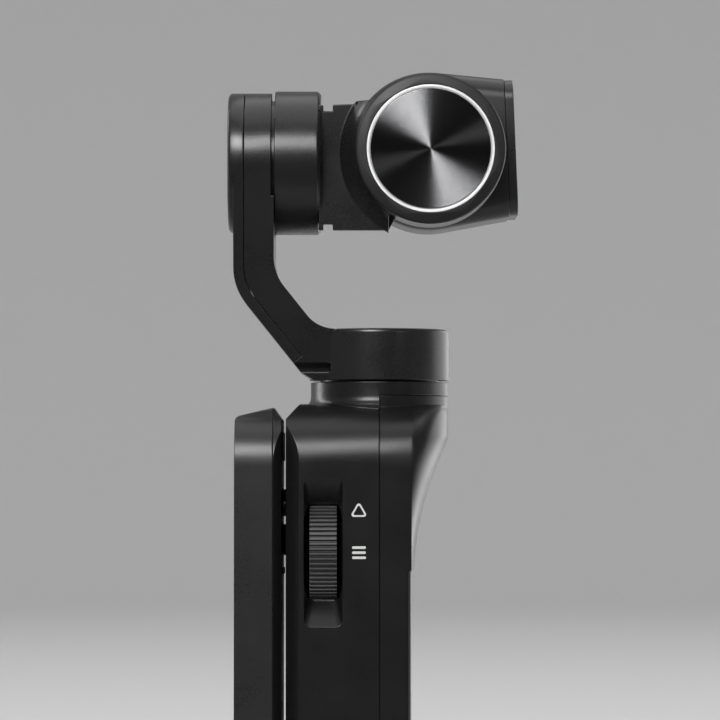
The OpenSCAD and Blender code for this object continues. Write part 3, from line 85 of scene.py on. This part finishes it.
# Materials
class Shader:
    """A principled material with its node tree and a few short ways to add to it."""

    def __init__(self, name, color, roughness, metallic=0.0, **sockets):
        self.material = bpy.data.materials.new(name)
        self.material.use_nodes = True
        self.tree = self.material.node_tree
        self.surface = self.tree.nodes["Principled BSDF"]
        self.surface.inputs["Base Color"].default_value = (*color, 1)
        self.surface.inputs["Roughness"].default_value = roughness
        self.surface.inputs["Metallic"].default_value = metallic
        for key, value in sockets.items():
            self.surface.inputs[key.replace("_", " ")].default_value = value

    def node(self, kind, **values):
        made = self.tree.nodes.new(kind)
        for key, value in values.items():
            if key in made.inputs:
                made.inputs[key].default_value = value
            else:
                setattr(made, key, value)
        return made

    def link(self, source, target):
        self.tree.links.new(source, target)

    def place(self):
        return self.node("ShaderNodeTexCoord").outputs["Object"]

    def noise(self, size, detail=2.0, roughness=0.5, place=None):
        """Noise whose features are about the given size."""
        noise = self.node("ShaderNodeTexNoise", Scale=1 / size, Detail=detail, Roughness=roughness)
        self.link(place or self.place(), noise.inputs["Vector"])
        return noise.outputs["Fac"]

    def span(self, value, low, high, start=0.0, end=1.0):
        """A value between start and end carried over to the span from low to high."""
        span = self.node("ShaderNodeMapRange")
        span.inputs["From Min"].default_value = start
        span.inputs["From Max"].default_value = end
        span.inputs["To Min"].default_value = low
        span.inputs["To Max"].default_value = high
        self.link(value, span.inputs["Value"])
        return span.outputs["Result"]

    def tint(self, value, dark, light):
        """The base colour runs from dark to light with a value."""
        mix = self.node("ShaderNodeMix", data_type="RGBA")
        mix.inputs[6].default_value = (*dark, 1)
        mix.inputs[7].default_value = (*light, 1)
        self.link(value, mix.inputs[0])
        self.link(mix.outputs[2], self.surface.inputs["Base Color"])

    def reach(self, centre, across):
        """The distance from an axis through the centre; across is 0 along the axis, else 1."""
        shift = self.node("ShaderNodeVectorMath", operation="SUBTRACT")
        self.link(self.place(), shift.inputs[0])
        shift.inputs[1].default_value = centre
        flat = self.node("ShaderNodeVectorMath", operation="MULTIPLY")
        self.link(shift.outputs["Vector"], flat.inputs[0])
        flat.inputs[1].default_value = across
        length = self.node("ShaderNodeVectorMath", operation="LENGTH")
        self.link(flat.outputs["Vector"], length.inputs[0])
        return length.outputs["Value"]

    def soft_edges(self, radius):
        """Rounded light on the sharp edges, without a change to the mesh."""
        return self.node("ShaderNodeBevel", samples=8, Radius=radius).outputs["Normal"]

    def bump(self, height, depth, radius=0.0):
        """Relief from a height pattern, laid over edges that the light sees rounded by a radius."""
        bump = self.node("ShaderNodeBump", Distance=depth, Strength=1.0)
        self.link(height, bump.inputs["Height"])
        if radius:
            self.link(self.soft_edges(radius), bump.inputs["Normal"])
        self.link(bump.outputs["Normal"], self.surface.inputs["Normal"])


GLOSS_DRIFT = 0.03
DRIFT_SIZE = 9 * MM


def grained(name, color, light, roughness, grain, depth, metallic=0.0, radius=0.0, **sockets):
    """Moulded or coated surface: a fine grain, a slow drift of gloss and faint mottling."""
    shader = Shader(name, color, roughness, metallic, **sockets)
    place = shader.place()
    fine = shader.noise(grain, 3.0, 0.6, place)
    broad = shader.noise(DRIFT_SIZE, 2.0, 0.5, place)
    shader.tint(shader.span(fine, 0.0, 1.0, 0.35, 0.65), color, light)
    gloss = shader.node("ShaderNodeMath", operation="ADD")
    shader.link(shader.span(fine, -GLOSS_DRIFT, GLOSS_DRIFT, 0.3, 0.7), gloss.inputs[0])
    shader.link(shader.span(broad, roughness - GLOSS_DRIFT, roughness + GLOSS_DRIFT, 0.3, 0.7),
                gloss.inputs[1])
    shader.link(gloss.outputs[0], shader.surface.inputs["Roughness"])
    shader.bump(fine, depth, radius)
    return shader.material


def plastic():
    return grained("matte_black_plastic", (0.0074, 0.0074, 0.0076), (0.0106, 0.0106, 0.011),
                   0.31, 0.24 * MM, 0.007 * MM, radius=0.16 * MM, Specular_IOR_Level=0.24)


def coated_metal():
    return grained("black_coated_metal", (0.0134, 0.0134, 0.0138), (0.0176, 0.0176, 0.0181),
                   0.29, 0.22 * MM, 0.007 * MM, radius=0.18 * MM, Specular_IOR_Level=0.24)


def satin_ring():
    return grained("satin_black_ring", (0.006, 0.006, 0.0062), (0.01, 0.01, 0.0104),
                   0.5, 0.3 * MM, 0.002 * MM, Specular_IOR_Level=0.25)


def screen_metal():
    return grained("dark_grey_coat", (0.021, 0.021, 0.0216), (0.027, 0.027, 0.0278),
                   0.3, 0.2 * MM, 0.007 * MM, radius=0.2 * MM, Specular_IOR_Level=0.26)


def camera_coat():
    return grained("satin_camera_coat", (0.02, 0.02, 0.0205), (0.026, 0.026, 0.0266),
                   0.3, 0.22 * MM, 0.005 * MM, radius=0.16 * MM, Specular_IOR_Level=0.26)


def gloss_black():
    return grained("smooth_black", (0.01, 0.01, 0.0105), (0.014, 0.014, 0.0145),
                   0.3, 0.3 * MM, 0.003 * MM)


def red_plastic():
    return grained("satin_red_plastic", (0.3, 0.012, 0.012), (0.36, 0.02, 0.018),
                   0.38, 0.24 * MM, 0.006 * MM)


def wheel_rubber():
    return grained("matte_black_rubber", (0.014, 0.014, 0.014), (0.03, 0.03, 0.03),
                   0.55, 0.16 * MM, 0.01 * MM)


def anodised():
    return grained("black_anodised", (0.02, 0.02, 0.021), (0.03, 0.03, 0.031),
                   0.34, 0.15 * MM, 0.004 * MM, metallic=0.6)


SCRATCH_W = 0.12 * MM
SCRATCH_STRETCH = 0.05
SCRATCH_GLOSS = 0.08


def brushed(name, color, light, roughness):
    """Metal with fine straight scratches along Z."""
    shader = Shader(name, color, roughness, 1.0)
    stretch = shader.node("ShaderNodeMapping")
    stretch.inputs["Scale"].default_value = (1, 1, SCRATCH_STRETCH)
    shader.link(shader.place(), stretch.inputs["Vector"])
    lines = shader.noise(SCRATCH_W, 2.0, 0.6, stretch.outputs["Vector"])
    shader.tint(lines, color, light)
    shader.link(shader.span(lines, roughness - SCRATCH_GLOSS, roughness + SCRATCH_GLOSS, 0.3, 0.7),
                shader.surface.inputs["Roughness"])
    shader.bump(lines, 0.002 * MM)
    return shader.material


SPUN_RING_W = 0.09 * MM


def spun_metal(node):
    """Dark metal turned in fine rings round the disc's own centre."""
    low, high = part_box(node)
    shader = Shader("spun_dark_metal", (0.13, 0.13, 0.133), 0.22, 1.0, Anisotropic=1.0,
                    Anisotropic_Rotation=0.25)
    tangent = shader.node("ShaderNodeTangent", direction_type="RADIAL", axis="Y")
    shader.link(tangent.outputs["Tangent"], shader.surface.inputs["Tangent"])
    rings = shader.node("ShaderNodeTexNoise", noise_dimensions="1D", Scale=1 / SPUN_RING_W,
                        Detail=2.0)
    shader.link(shader.reach((low + high) / 2, (1, 0, 1)), rings.inputs["W"])
    shader.tint(shader.span(rings.outputs["Fac"], 0.0, 1.0, 0.3, 0.7),
                (0.11, 0.11, 0.113), (0.15, 0.15, 0.154))
    shader.link(shader.span(rings.outputs["Fac"], 0.19, 0.25, 0.3, 0.7),
                shader.surface.inputs["Roughness"])
    shader.bump(rings.outputs["Fac"], 0.003 * MM)
    return shader.material


def bright_trim():
    """Light satin metal with a faint unevenness of its gloss."""
    shader = Shader("bright_cut_edge", (0.9, 0.9, 0.91), 0.36, 0.3)
    turned = shader.noise(0.3 * MM, 1.0)
    shader.link(shader.span(turned, 0.32, 0.4, 0.3, 0.7), shader.surface.inputs["Roughness"])
    return shader.material


def screen_glass():
    """Black glass under a clear coat, with a slow haze."""
    shader = Shader("black_cover_glass", (0.004, 0.004, 0.005), 0.05, IOR=1.52, Coat_Weight=0.6,
                    Coat_Roughness=0.03)
    haze = shader.noise(6 * MM, 3.0)
    shader.link(shader.span(haze, 0.04, 0.1, 0.35, 0.75), shader.surface.inputs["Roughness"])
    return shader.material


# Shares of the glass's radius and the colour painted there, from the pupil out to the barrel: painted shade in the
# dark pupil and gaps, painted reflections in the lighter purple and grey rings
LENS_PAINTED_REFLECTION_AND_SHADE = (
    (0.0, (0.001, 0.001, 0.002)), (0.26, (0.004, 0.004, 0.014)), (0.3, (0.03, 0.026, 0.07)),
    (0.36, (0.003, 0.003, 0.007)), (0.6, (0.002, 0.002, 0.004)), (0.65, (0.035, 0.035, 0.042)),
    (0.7, (0.003, 0.003, 0.004)), (0.92, (0.002, 0.002, 0.003)), (1.0, (0.02, 0.02, 0.022)),
)


def front_lens_glass(node):
    """Coated glass whose colour paints the look into a dark lens stack round the lens axis: painted reflections in
    its lighter rings and painted shade in its dark pupil.
    """
    low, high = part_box(node)
    radius = (high.z - low.z) / 2
    shader = Shader("front_glass_painted_reflection_and_shade", (0.003, 0.003, 0.006), 0.03, IOR=1.52, Coat_Weight=0.5,
                    Coat_Roughness=0.02)
    # The ramp paints reflections and shade into the base colour by distance from the lens axis
    rings = shader.node("ShaderNodeValToRGB")
    from_axis = shader.reach((low + high) / 2, (0, 1, 1))
    shader.link(shader.span(from_axis, 0.0, 1.0, 0.0, radius), rings.inputs["Fac"])
    stops = rings.color_ramp.elements
    while len(stops) < len(LENS_PAINTED_REFLECTION_AND_SHADE):
        stops.new(0.5)
    for stop, (share, color) in zip(stops, LENS_PAINTED_REFLECTION_AND_SHADE):
        stop.position = share
        stop.color = (*color, 1)
    shader.link(rings.outputs["Color"], shader.surface.inputs["Base Color"])
    return shader.material


def coated_lens():
    """Lens glass with a thin coating and a little dust."""
    shader = Shader("coated_lens", (0.006, 0.008, 0.02), 0.03, IOR=1.7, Thin_Film_Thickness=380.0,
                    Thin_Film_IOR=1.38)
    dust = shader.noise(1.2 * MM, 3.0)
    shader.link(shader.span(dust, 0.02, 0.06, 0.4, 0.8), shader.surface.inputs["Roughness"])
    return shader.material


def windings():
    """Enamelled copper between stacked steel sheets."""
    shader = Shader("copper_windings", (0.5, 0.2, 0.07), 0.35, 1.0)
    stack = shader.node("ShaderNodeTexWave", Scale=1 / (0.9 * MM), Distortion=1.5, Detail=2.0)
    shader.link(shader.place(), stack.inputs["Vector"])
    shader.tint(stack.outputs["Fac"], (0.4, 0.15, 0.05), (0.62, 0.29, 0.12))
    shader.bump(stack.outputs["Fac"], 0.05 * MM)
    return shader.material


def circuit_board():
    """Solder mask over copper tracks."""
    shader = Shader("circuit_board", (0.01, 0.07, 0.03), 0.4)
    tracks = shader.node("ShaderNodeTexBrick", Scale=1 / (3 * MM))
    shader.link(shader.place(), tracks.inputs["Vector"])
    shader.tint(tracks.outputs["Fac"], (0.008, 0.06, 0.025), (0.03, 0.13, 0.05))
    shader.bump(tracks.outputs["Fac"], 0.03 * MM)
    return shader.material


def plain_film(name, color, light, roughness):
    return grained(name, color, light, roughness, 0.5 * MM, 0.01 * MM)


def white_print():
    """Slightly uneven white ink."""
    shader = Shader("white_print", (0.8, 0.8, 0.79), 0.5)
    ink = shader.noise(0.12 * MM, 2.0)
    shader.tint(shader.span(ink, 0.0, 1.0, 0.3, 0.7), (0.74, 0.74, 0.73), (0.86, 0.86, 0.85))
    shader.bump(ink, 0.004 * MM)
    return shader.material


# Near-black, almost glossless colour for the wheel carrier: painted shade for the recess round the thumb wheel
def carrier_painted_shade():
    return grained("recess_painted_shade", (0.0012, 0.0012, 0.0012), (0.002, 0.002, 0.002), 0.7,
                   0.2 * MM, 0.004 * MM, Specular_IOR_Level=0.05)


slots = {
    "body_plastic": plastic(),
    "gloss_black": gloss_black(),
    "red_plastic": red_plastic(),
    "arm_metal": coated_metal(),
    "screen_metal": screen_metal(),
    "dark_anodised": anodised(),
    "bare_aluminium": brushed("bare_aluminium", (0.5, 0.5, 0.52), (0.66, 0.66, 0.68), 0.4),
    "spun_metal": spun_metal("pitch_disc"),
    "bright_trim": bright_trim(),
    "steel": brushed("steel", (0.42, 0.42, 0.43), (0.6, 0.6, 0.61), 0.3),
    "dark_steel": brushed("dark_steel", (0.06, 0.06, 0.062), (0.12, 0.12, 0.124), 0.36),
    "brass_insert": brushed("brass", (0.55, 0.4, 0.16), (0.74, 0.58, 0.28), 0.32),
    "copper_winding": windings(),
    "circuit_board": circuit_board(),
    "battery_wrap": plain_film("battery_wrap", (0.05, 0.07, 0.1), (0.08, 0.1, 0.14), 0.35),
    "flex_film": plain_film("amber_film", (0.4, 0.16, 0.03), (0.52, 0.24, 0.06), 0.3),
    "wheel_rubber": wheel_rubber(),
    "dark_glass": screen_glass(),
    "lens_glass": coated_lens(),
}


def dress_nodes():
    for part in frame["record"]["subparts"]:
        mesh = nodes[part["node"]].data
        mesh.materials.clear()
        mesh.materials.append(slots[part["material_slot"]])
    nodes["front_glass"].data.materials[0] = front_lens_glass("front_glass")
    # The wheel carrier takes the painted shade of its recess
    nodes["wheel_carrier"].data.materials[0] = carrier_painted_shade()
    nodes["pitch_bezel"].data.materials[0] = satin_ring()
    coat = camera_coat()
    for name in ("camera_shell", "camera_front_bezel"):
        nodes[name].data.materials[0] = coat


# Edges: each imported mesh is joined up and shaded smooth, then bevelled or given even normals
SHARP = math.radians(28)
FLAT = math.radians(0.3)
MERGE_REACH = 0.002 * MM
BEVEL_STEPS = 3


def clean_group():
    group = bpy.data.node_groups.new("clean_mesh", "GeometryNodeTree")
    group.interface.new_socket("Geometry", in_out="INPUT", socket_type="NodeSocketGeometry")
    group.interface.new_socket("Geometry", in_out="OUTPUT", socket_type="NodeSocketGeometry")
    add = group.nodes.new
    start, end = add("NodeGroupInput"), add("NodeGroupOutput")
    drop = add("GeometryNodeRemoveAttribute")
    drop.inputs["Name"].default_value = "custom_normal"
    merge = add("GeometryNodeMergeByDistance")
    merge.inputs["Distance"].default_value = MERGE_REACH
    faces = add("GeometryNodeSetShadeSmooth")
    edges = add("GeometryNodeSetShadeSmooth")
    edges.domain = "EDGE"
    angle = add("GeometryNodeInputMeshEdgeAngle")
    soft = add("FunctionNodeCompare")
    soft.operation = "LESS_THAN"
    soft.inputs[1].default_value = SHARP
    for source, target in ((start.outputs[0], drop.inputs[0]), (drop.outputs[0], merge.inputs[0]),
                           (merge.outputs[0], faces.inputs[0]), (faces.outputs[0], edges.inputs[0]),
                           (angle.outputs["Unsigned Angle"], soft.inputs[0]),
                           (soft.outputs[0], edges.inputs["Shade Smooth"]),
                           (edges.outputs[0], end.inputs[0])):
        group.links.new(source, target)
    return group


# Bevel width in millimetres of the nodes whose meshes take a bevel
EDGE = {
    "base_plate": 0.2, "neck_collar": 0.12, "screen_frame": 0.16, "cover_glass": 0.12,
    "arm_cover": 0.16, "roll_bracket": 0.16, "pitch_bezel": 0.1, "pitch_disc": 0.05,
    "pitch_trim_ring": 0.04, "camera_shell": 0.05, "camera_front_bezel": 0.1, "lens_ring": 0.15,
    "record_button": 0.12, "power_button": 0.12, "screen_hinge_leaf": 0.12,
    "screen_bumpers": 0.1, "thumb_wheel": 0.06, "wheel_carrier": 0.1, "usb_socket": 0.08,
    "base_screws": 0.12, "shell_screws": 0.12, "tripod_insert": 0.15,
}


def round_edges():
    group = clean_group()
    for name, piece in nodes.items():
        clean = piece.modifiers.new("clean", "NODES")
        clean.node_group = group
        if name not in EDGE:
            even = piece.modifiers.new("even", "WEIGHTED_NORMAL")
            even.mode = "FACE_AREA"
            even.weight = 100
            even.keep_sharp = True
            continue
        flat = piece.modifiers.new("flat", "DECIMATE")
        flat.decimate_type = "DISSOLVE"
        flat.angle_limit = FLAT
        edge = piece.modifiers.new("edge", "BEVEL")
        edge.width = EDGE[name] * MM
        edge.segments = BEVEL_STEPS
        edge.limit_method = "ANGLE"
        edge.angle_limit = SHARP
        edge.use_clamp_overlap = False
        edge.harden_normals = True


# Small pieces that lie on the surfaces
def new_piece(name, mesh, material, body):
    piece = bpy.data.objects.new(name, mesh)
    bpy.context.scene.collection.objects.link(piece)
    mesh.materials.append(material)
    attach(piece, body)


CORNER_STEPS = 6


def corner_arc(before, at, after, radius):
    """Points round one corner of an outline, from the side of before to the side of after."""
    a, b = (before - at).normalized(), (after - at).normalized()
    half = math.acos(max(-1, min(1, a.dot(b)))) / 2
    centre = at + (a + b).normalized() * radius / math.sin(half)
    first = at + a * radius / math.tan(half) - centre
    last = at + b * radius / math.tan(half) - centre
    start = math.atan2(first.y, first.x)
    sweep = (math.atan2(last.y, last.x) - start + math.pi) % (2 * math.pi) - math.pi
    turns = [start + sweep * i / CORNER_STEPS for i in range(CORNER_STEPS + 1)]
    return [centre + radius * Vector((math.cos(turn), math.sin(turn))) for turn in turns]


def rounded(points, radius):
    count = len(points)
    return [p for i in range(count)
            for p in corner_arc(points[i - 1], points[i], points[(i + 1) % count], radius)]


def print_mesh(name, outer, inner, to_place, thickness):
    """A printed shape between an outer outline and an optional inner one with as many points."""
    mesh = bpy.data.meshes.new(name)
    maker = bmesh.new()
    outside = [maker.verts.new(to_place(p)) for p in outer]
    if inner:
        inside = [maker.verts.new(to_place(p)) for p in inner]
        for i in range(len(outer)):
            j = (i + 1) % len(outer)
            maker.faces.new((outside[i], outside[j], inside[j], inside[i]))
    else:
        maker.faces.new(outside)
    raised = bmesh.ops.extrude_face_region(maker, geom=maker.faces[:])
    for item in raised["geom"]:
        if isinstance(item, bmesh.types.BMVert):
            item.co += thickness
    bmesh.ops.recalc_face_normals(maker, faces=maker.faces[:])
    maker.to_mesh(mesh)
    maker.free()
    return mesh


INK = 0.02 * MM
TRIANGLE_PX = (358.8, 508.9)
TRIANGLE_W_PX = 17.6
TRIANGLE_H_PX = 15.4
TRIANGLE_STROKE = 0.3 * MM
TRIANGLE_CORNER_R = 0.4 * MM
TRIANGLE_HOLE_CORNER_R = 0.18 * MM
BAR_STROKE = 0.44 * MM
BAR_CORNER_R = BAR_STROKE / 2.2
BARS_PX = (359.0, 552.5)
BARS_W_PX = 13.4
BARS_H_PX = 12.4
BAR_COUNT = 3


def side_marks():
    """Printed marks beside the thumb wheel: an outlined triangle and three short bars."""
    side_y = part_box("rear_shell")[0].y
    ink = white_print()
    out = Vector((0, -INK, 0))

    def placer(px):
        centre = on_plane(px, side_y)
        return lambda p: centre + Vector((p.x, 0, p.y))

    w, h = TRIANGLE_W_PX * PIXEL, TRIANGLE_H_PX * PIXEL
    points = [Vector((-w / 2, -h / 2)), Vector((w / 2, -h / 2)), Vector((0, h / 2))]
    middle = sum(points, Vector((0, 0))) / 3
    reach = (middle - (points[0] + points[1]) / 2).length
    shrink = 1 - TRIANGLE_STROKE / reach
    inner = [middle + (p - middle) * shrink for p in points]
    mesh = print_mesh("triangle_mark", rounded(points, TRIANGLE_CORNER_R),
                      rounded(inner, TRIANGLE_HOLE_CORNER_R), placer(TRIANGLE_PX), out)
    new_piece("triangle_mark", mesh, ink, "handle")
    w, h = BARS_W_PX * PIXEL, BARS_H_PX * PIXEL
    place = placer(BARS_PX)
    for i in range(BAR_COUNT):
        y = (i / (BAR_COUNT - 1) - 0.5) * (h - BAR_STROKE)
        bar = [Vector((-w / 2, y - BAR_STROKE / 2)), Vector((w / 2, y - BAR_STROKE / 2)),
               Vector((w / 2, y + BAR_STROKE / 2)), Vector((-w / 2, y + BAR_STROKE / 2))]
        mesh = print_mesh(f"bar_mark_{i + 1}", rounded(bar, BAR_CORNER_R), None, place, out)
        new_piece(f"bar_mark_{i + 1}", mesh, ink, "handle")


# Studio
FLOOR_R = 1.6
SWEEP_R = 0.7
WALL_H = 2.2
SWEEP_STEPS = 16
FLOOR_SIDES = 96
FLOOR_GREY = 0.72


def make_floor():
    """A pale floor that sweeps up into a round wall."""
    profile = [(0.0, 0.0)]
    for i in range(SWEEP_STEPS + 1):
        a = math.pi / 2 * i / SWEEP_STEPS
        profile.append((FLOOR_R + SWEEP_R * math.sin(a), SWEEP_R * (1 - math.cos(a))))
    profile.append((FLOOR_R + SWEEP_R, WALL_H))
    sides = range(FLOOR_SIDES)
    turns = [2 * math.pi * i / FLOOR_SIDES for i in sides]
    mesh = bpy.data.meshes.new("floor")
    verts = [(0, 0, 0)]
    verts += [(r * math.cos(a), r * math.sin(a), z) for r, z in profile[1:] for a in turns]
    following = [(i + 1) % FLOOR_SIDES for i in sides]
    faces = [(0, 1 + i, 1 + j) for i, j in zip(sides, following)]
    for row in range(len(profile) - 2):
        a, b = 1 + row * FLOOR_SIDES, 1 + (row + 1) * FLOOR_SIDES
        faces += [(a + i, b + i, b + j, a + j) for i, j in zip(sides, following)]
    mesh.from_pydata(verts, [], faces)
    for face in mesh.polygons:
        face.use_smooth = True
    shader = Shader("pale_floor", (FLOOR_GREY,) * 3, 0.8, Specular_IOR_Level=0.0)
    mesh.materials.append(shader.material)
    floor = bpy.data.objects.new("floor", mesh)
    bpy.context.scene.collection.objects.link(floor)


CARD_Y = -1.3
CARD_FRONT_Y = -0.16
CARD_HALF_W = 1.5
CARD_H = 1.8
CARD_LIFT = 2 * MM


def dark_card():
    """A black card behind and below the camera that shows only in the gloss of the surfaces."""
    mesh = bpy.data.meshes.new("dark_card")
    rows = [(CARD_Y, CARD_H), (CARD_Y, CARD_LIFT), (CARD_FRONT_Y, CARD_LIFT)]
    mesh.from_pydata([(side * CARD_HALF_W, y, z) for y, z in rows for side in (-1, 1)],
                     [], [(0, 1, 3, 2), (2, 3, 5, 4)])
    mesh.materials.append(Shader("card_black", (0.01, 0.01, 0.01), 0.9).material)
    card = bpy.data.objects.new("dark_card", mesh)
    card.visible_camera = False
    card.visible_diffuse = False
    card.visible_shadow = False
    bpy.context.scene.collection.objects.link(card)


HEAD_Z = 0.12
WORLD_GREY = 0.8
WORLD_STRENGTH = 0.62


def softbox(name, place, aim, width, height, power, diffuse=True, glossy=True):
    """A rectangular lamp, of which diffuse or glossy light can be held back."""
    data = bpy.data.lights.new(name, "AREA")
    data.shape = "RECTANGLE"
    data.size, data.size_y = width, height
    data.energy = power
    light = bpy.data.objects.new(name, data)
    light.location = place
    light.rotation_euler = (Vector(aim) - Vector(place)).to_track_quat("-Z", "Y").to_euler()
    light.visible_camera = False
    light.visible_diffuse = diffuse
    light.visible_glossy = glossy
    bpy.context.scene.collection.objects.link(light)


def light_scene():
    head = Vector((yaw_x, 0, HEAD_Z))
    softbox("high_left_strip", (-0.26, -0.88, 0.66), head, 0.5, 0.36, 21.0, diffuse=False)
    softbox("high_left_fill", (-0.5, -0.9, 0.7), head, 0.9, 0.5, 4.5, glossy=False)
    softbox("high_right_strip", (0.62, -0.9, 0.42), head, 0.1, 0.2, 1.0, diffuse=False)
    softbox("right_box", (0.6, 0.5, 0.2), head, 0.9, 0.5, 3.2, diffuse=False)
    softbox("low_right_box", (0.3, 0.2, 0.012), (0.3, 0.2, 1), 0.36, 0.6, 1.8, diffuse=False)
    softbox("back_left_strip", (-0.75, 0.45, 0.3), head, 0.16, 0.9, 5.0, diffuse=False)
    softbox("overhead", (0.1, 0.1, 1.3), head, 1.3, 1.3, 9.5)
    world = bpy.data.worlds.new("world")
    world.use_nodes = True
    background = world.node_tree.nodes["Background"]
    background.inputs["Color"].default_value = (WORLD_GREY, WORLD_GREY, WORLD_GREY, 1)
    background.inputs["Strength"].default_value = WORLD_STRENGTH
    bpy.context.scene.world = world


make_camera()
dress_nodes()
round_edges()
side_marks()
make_floor()
dark_card()
light_scene()
bpy.context.scene.view_settings.view_transform = "Standard"
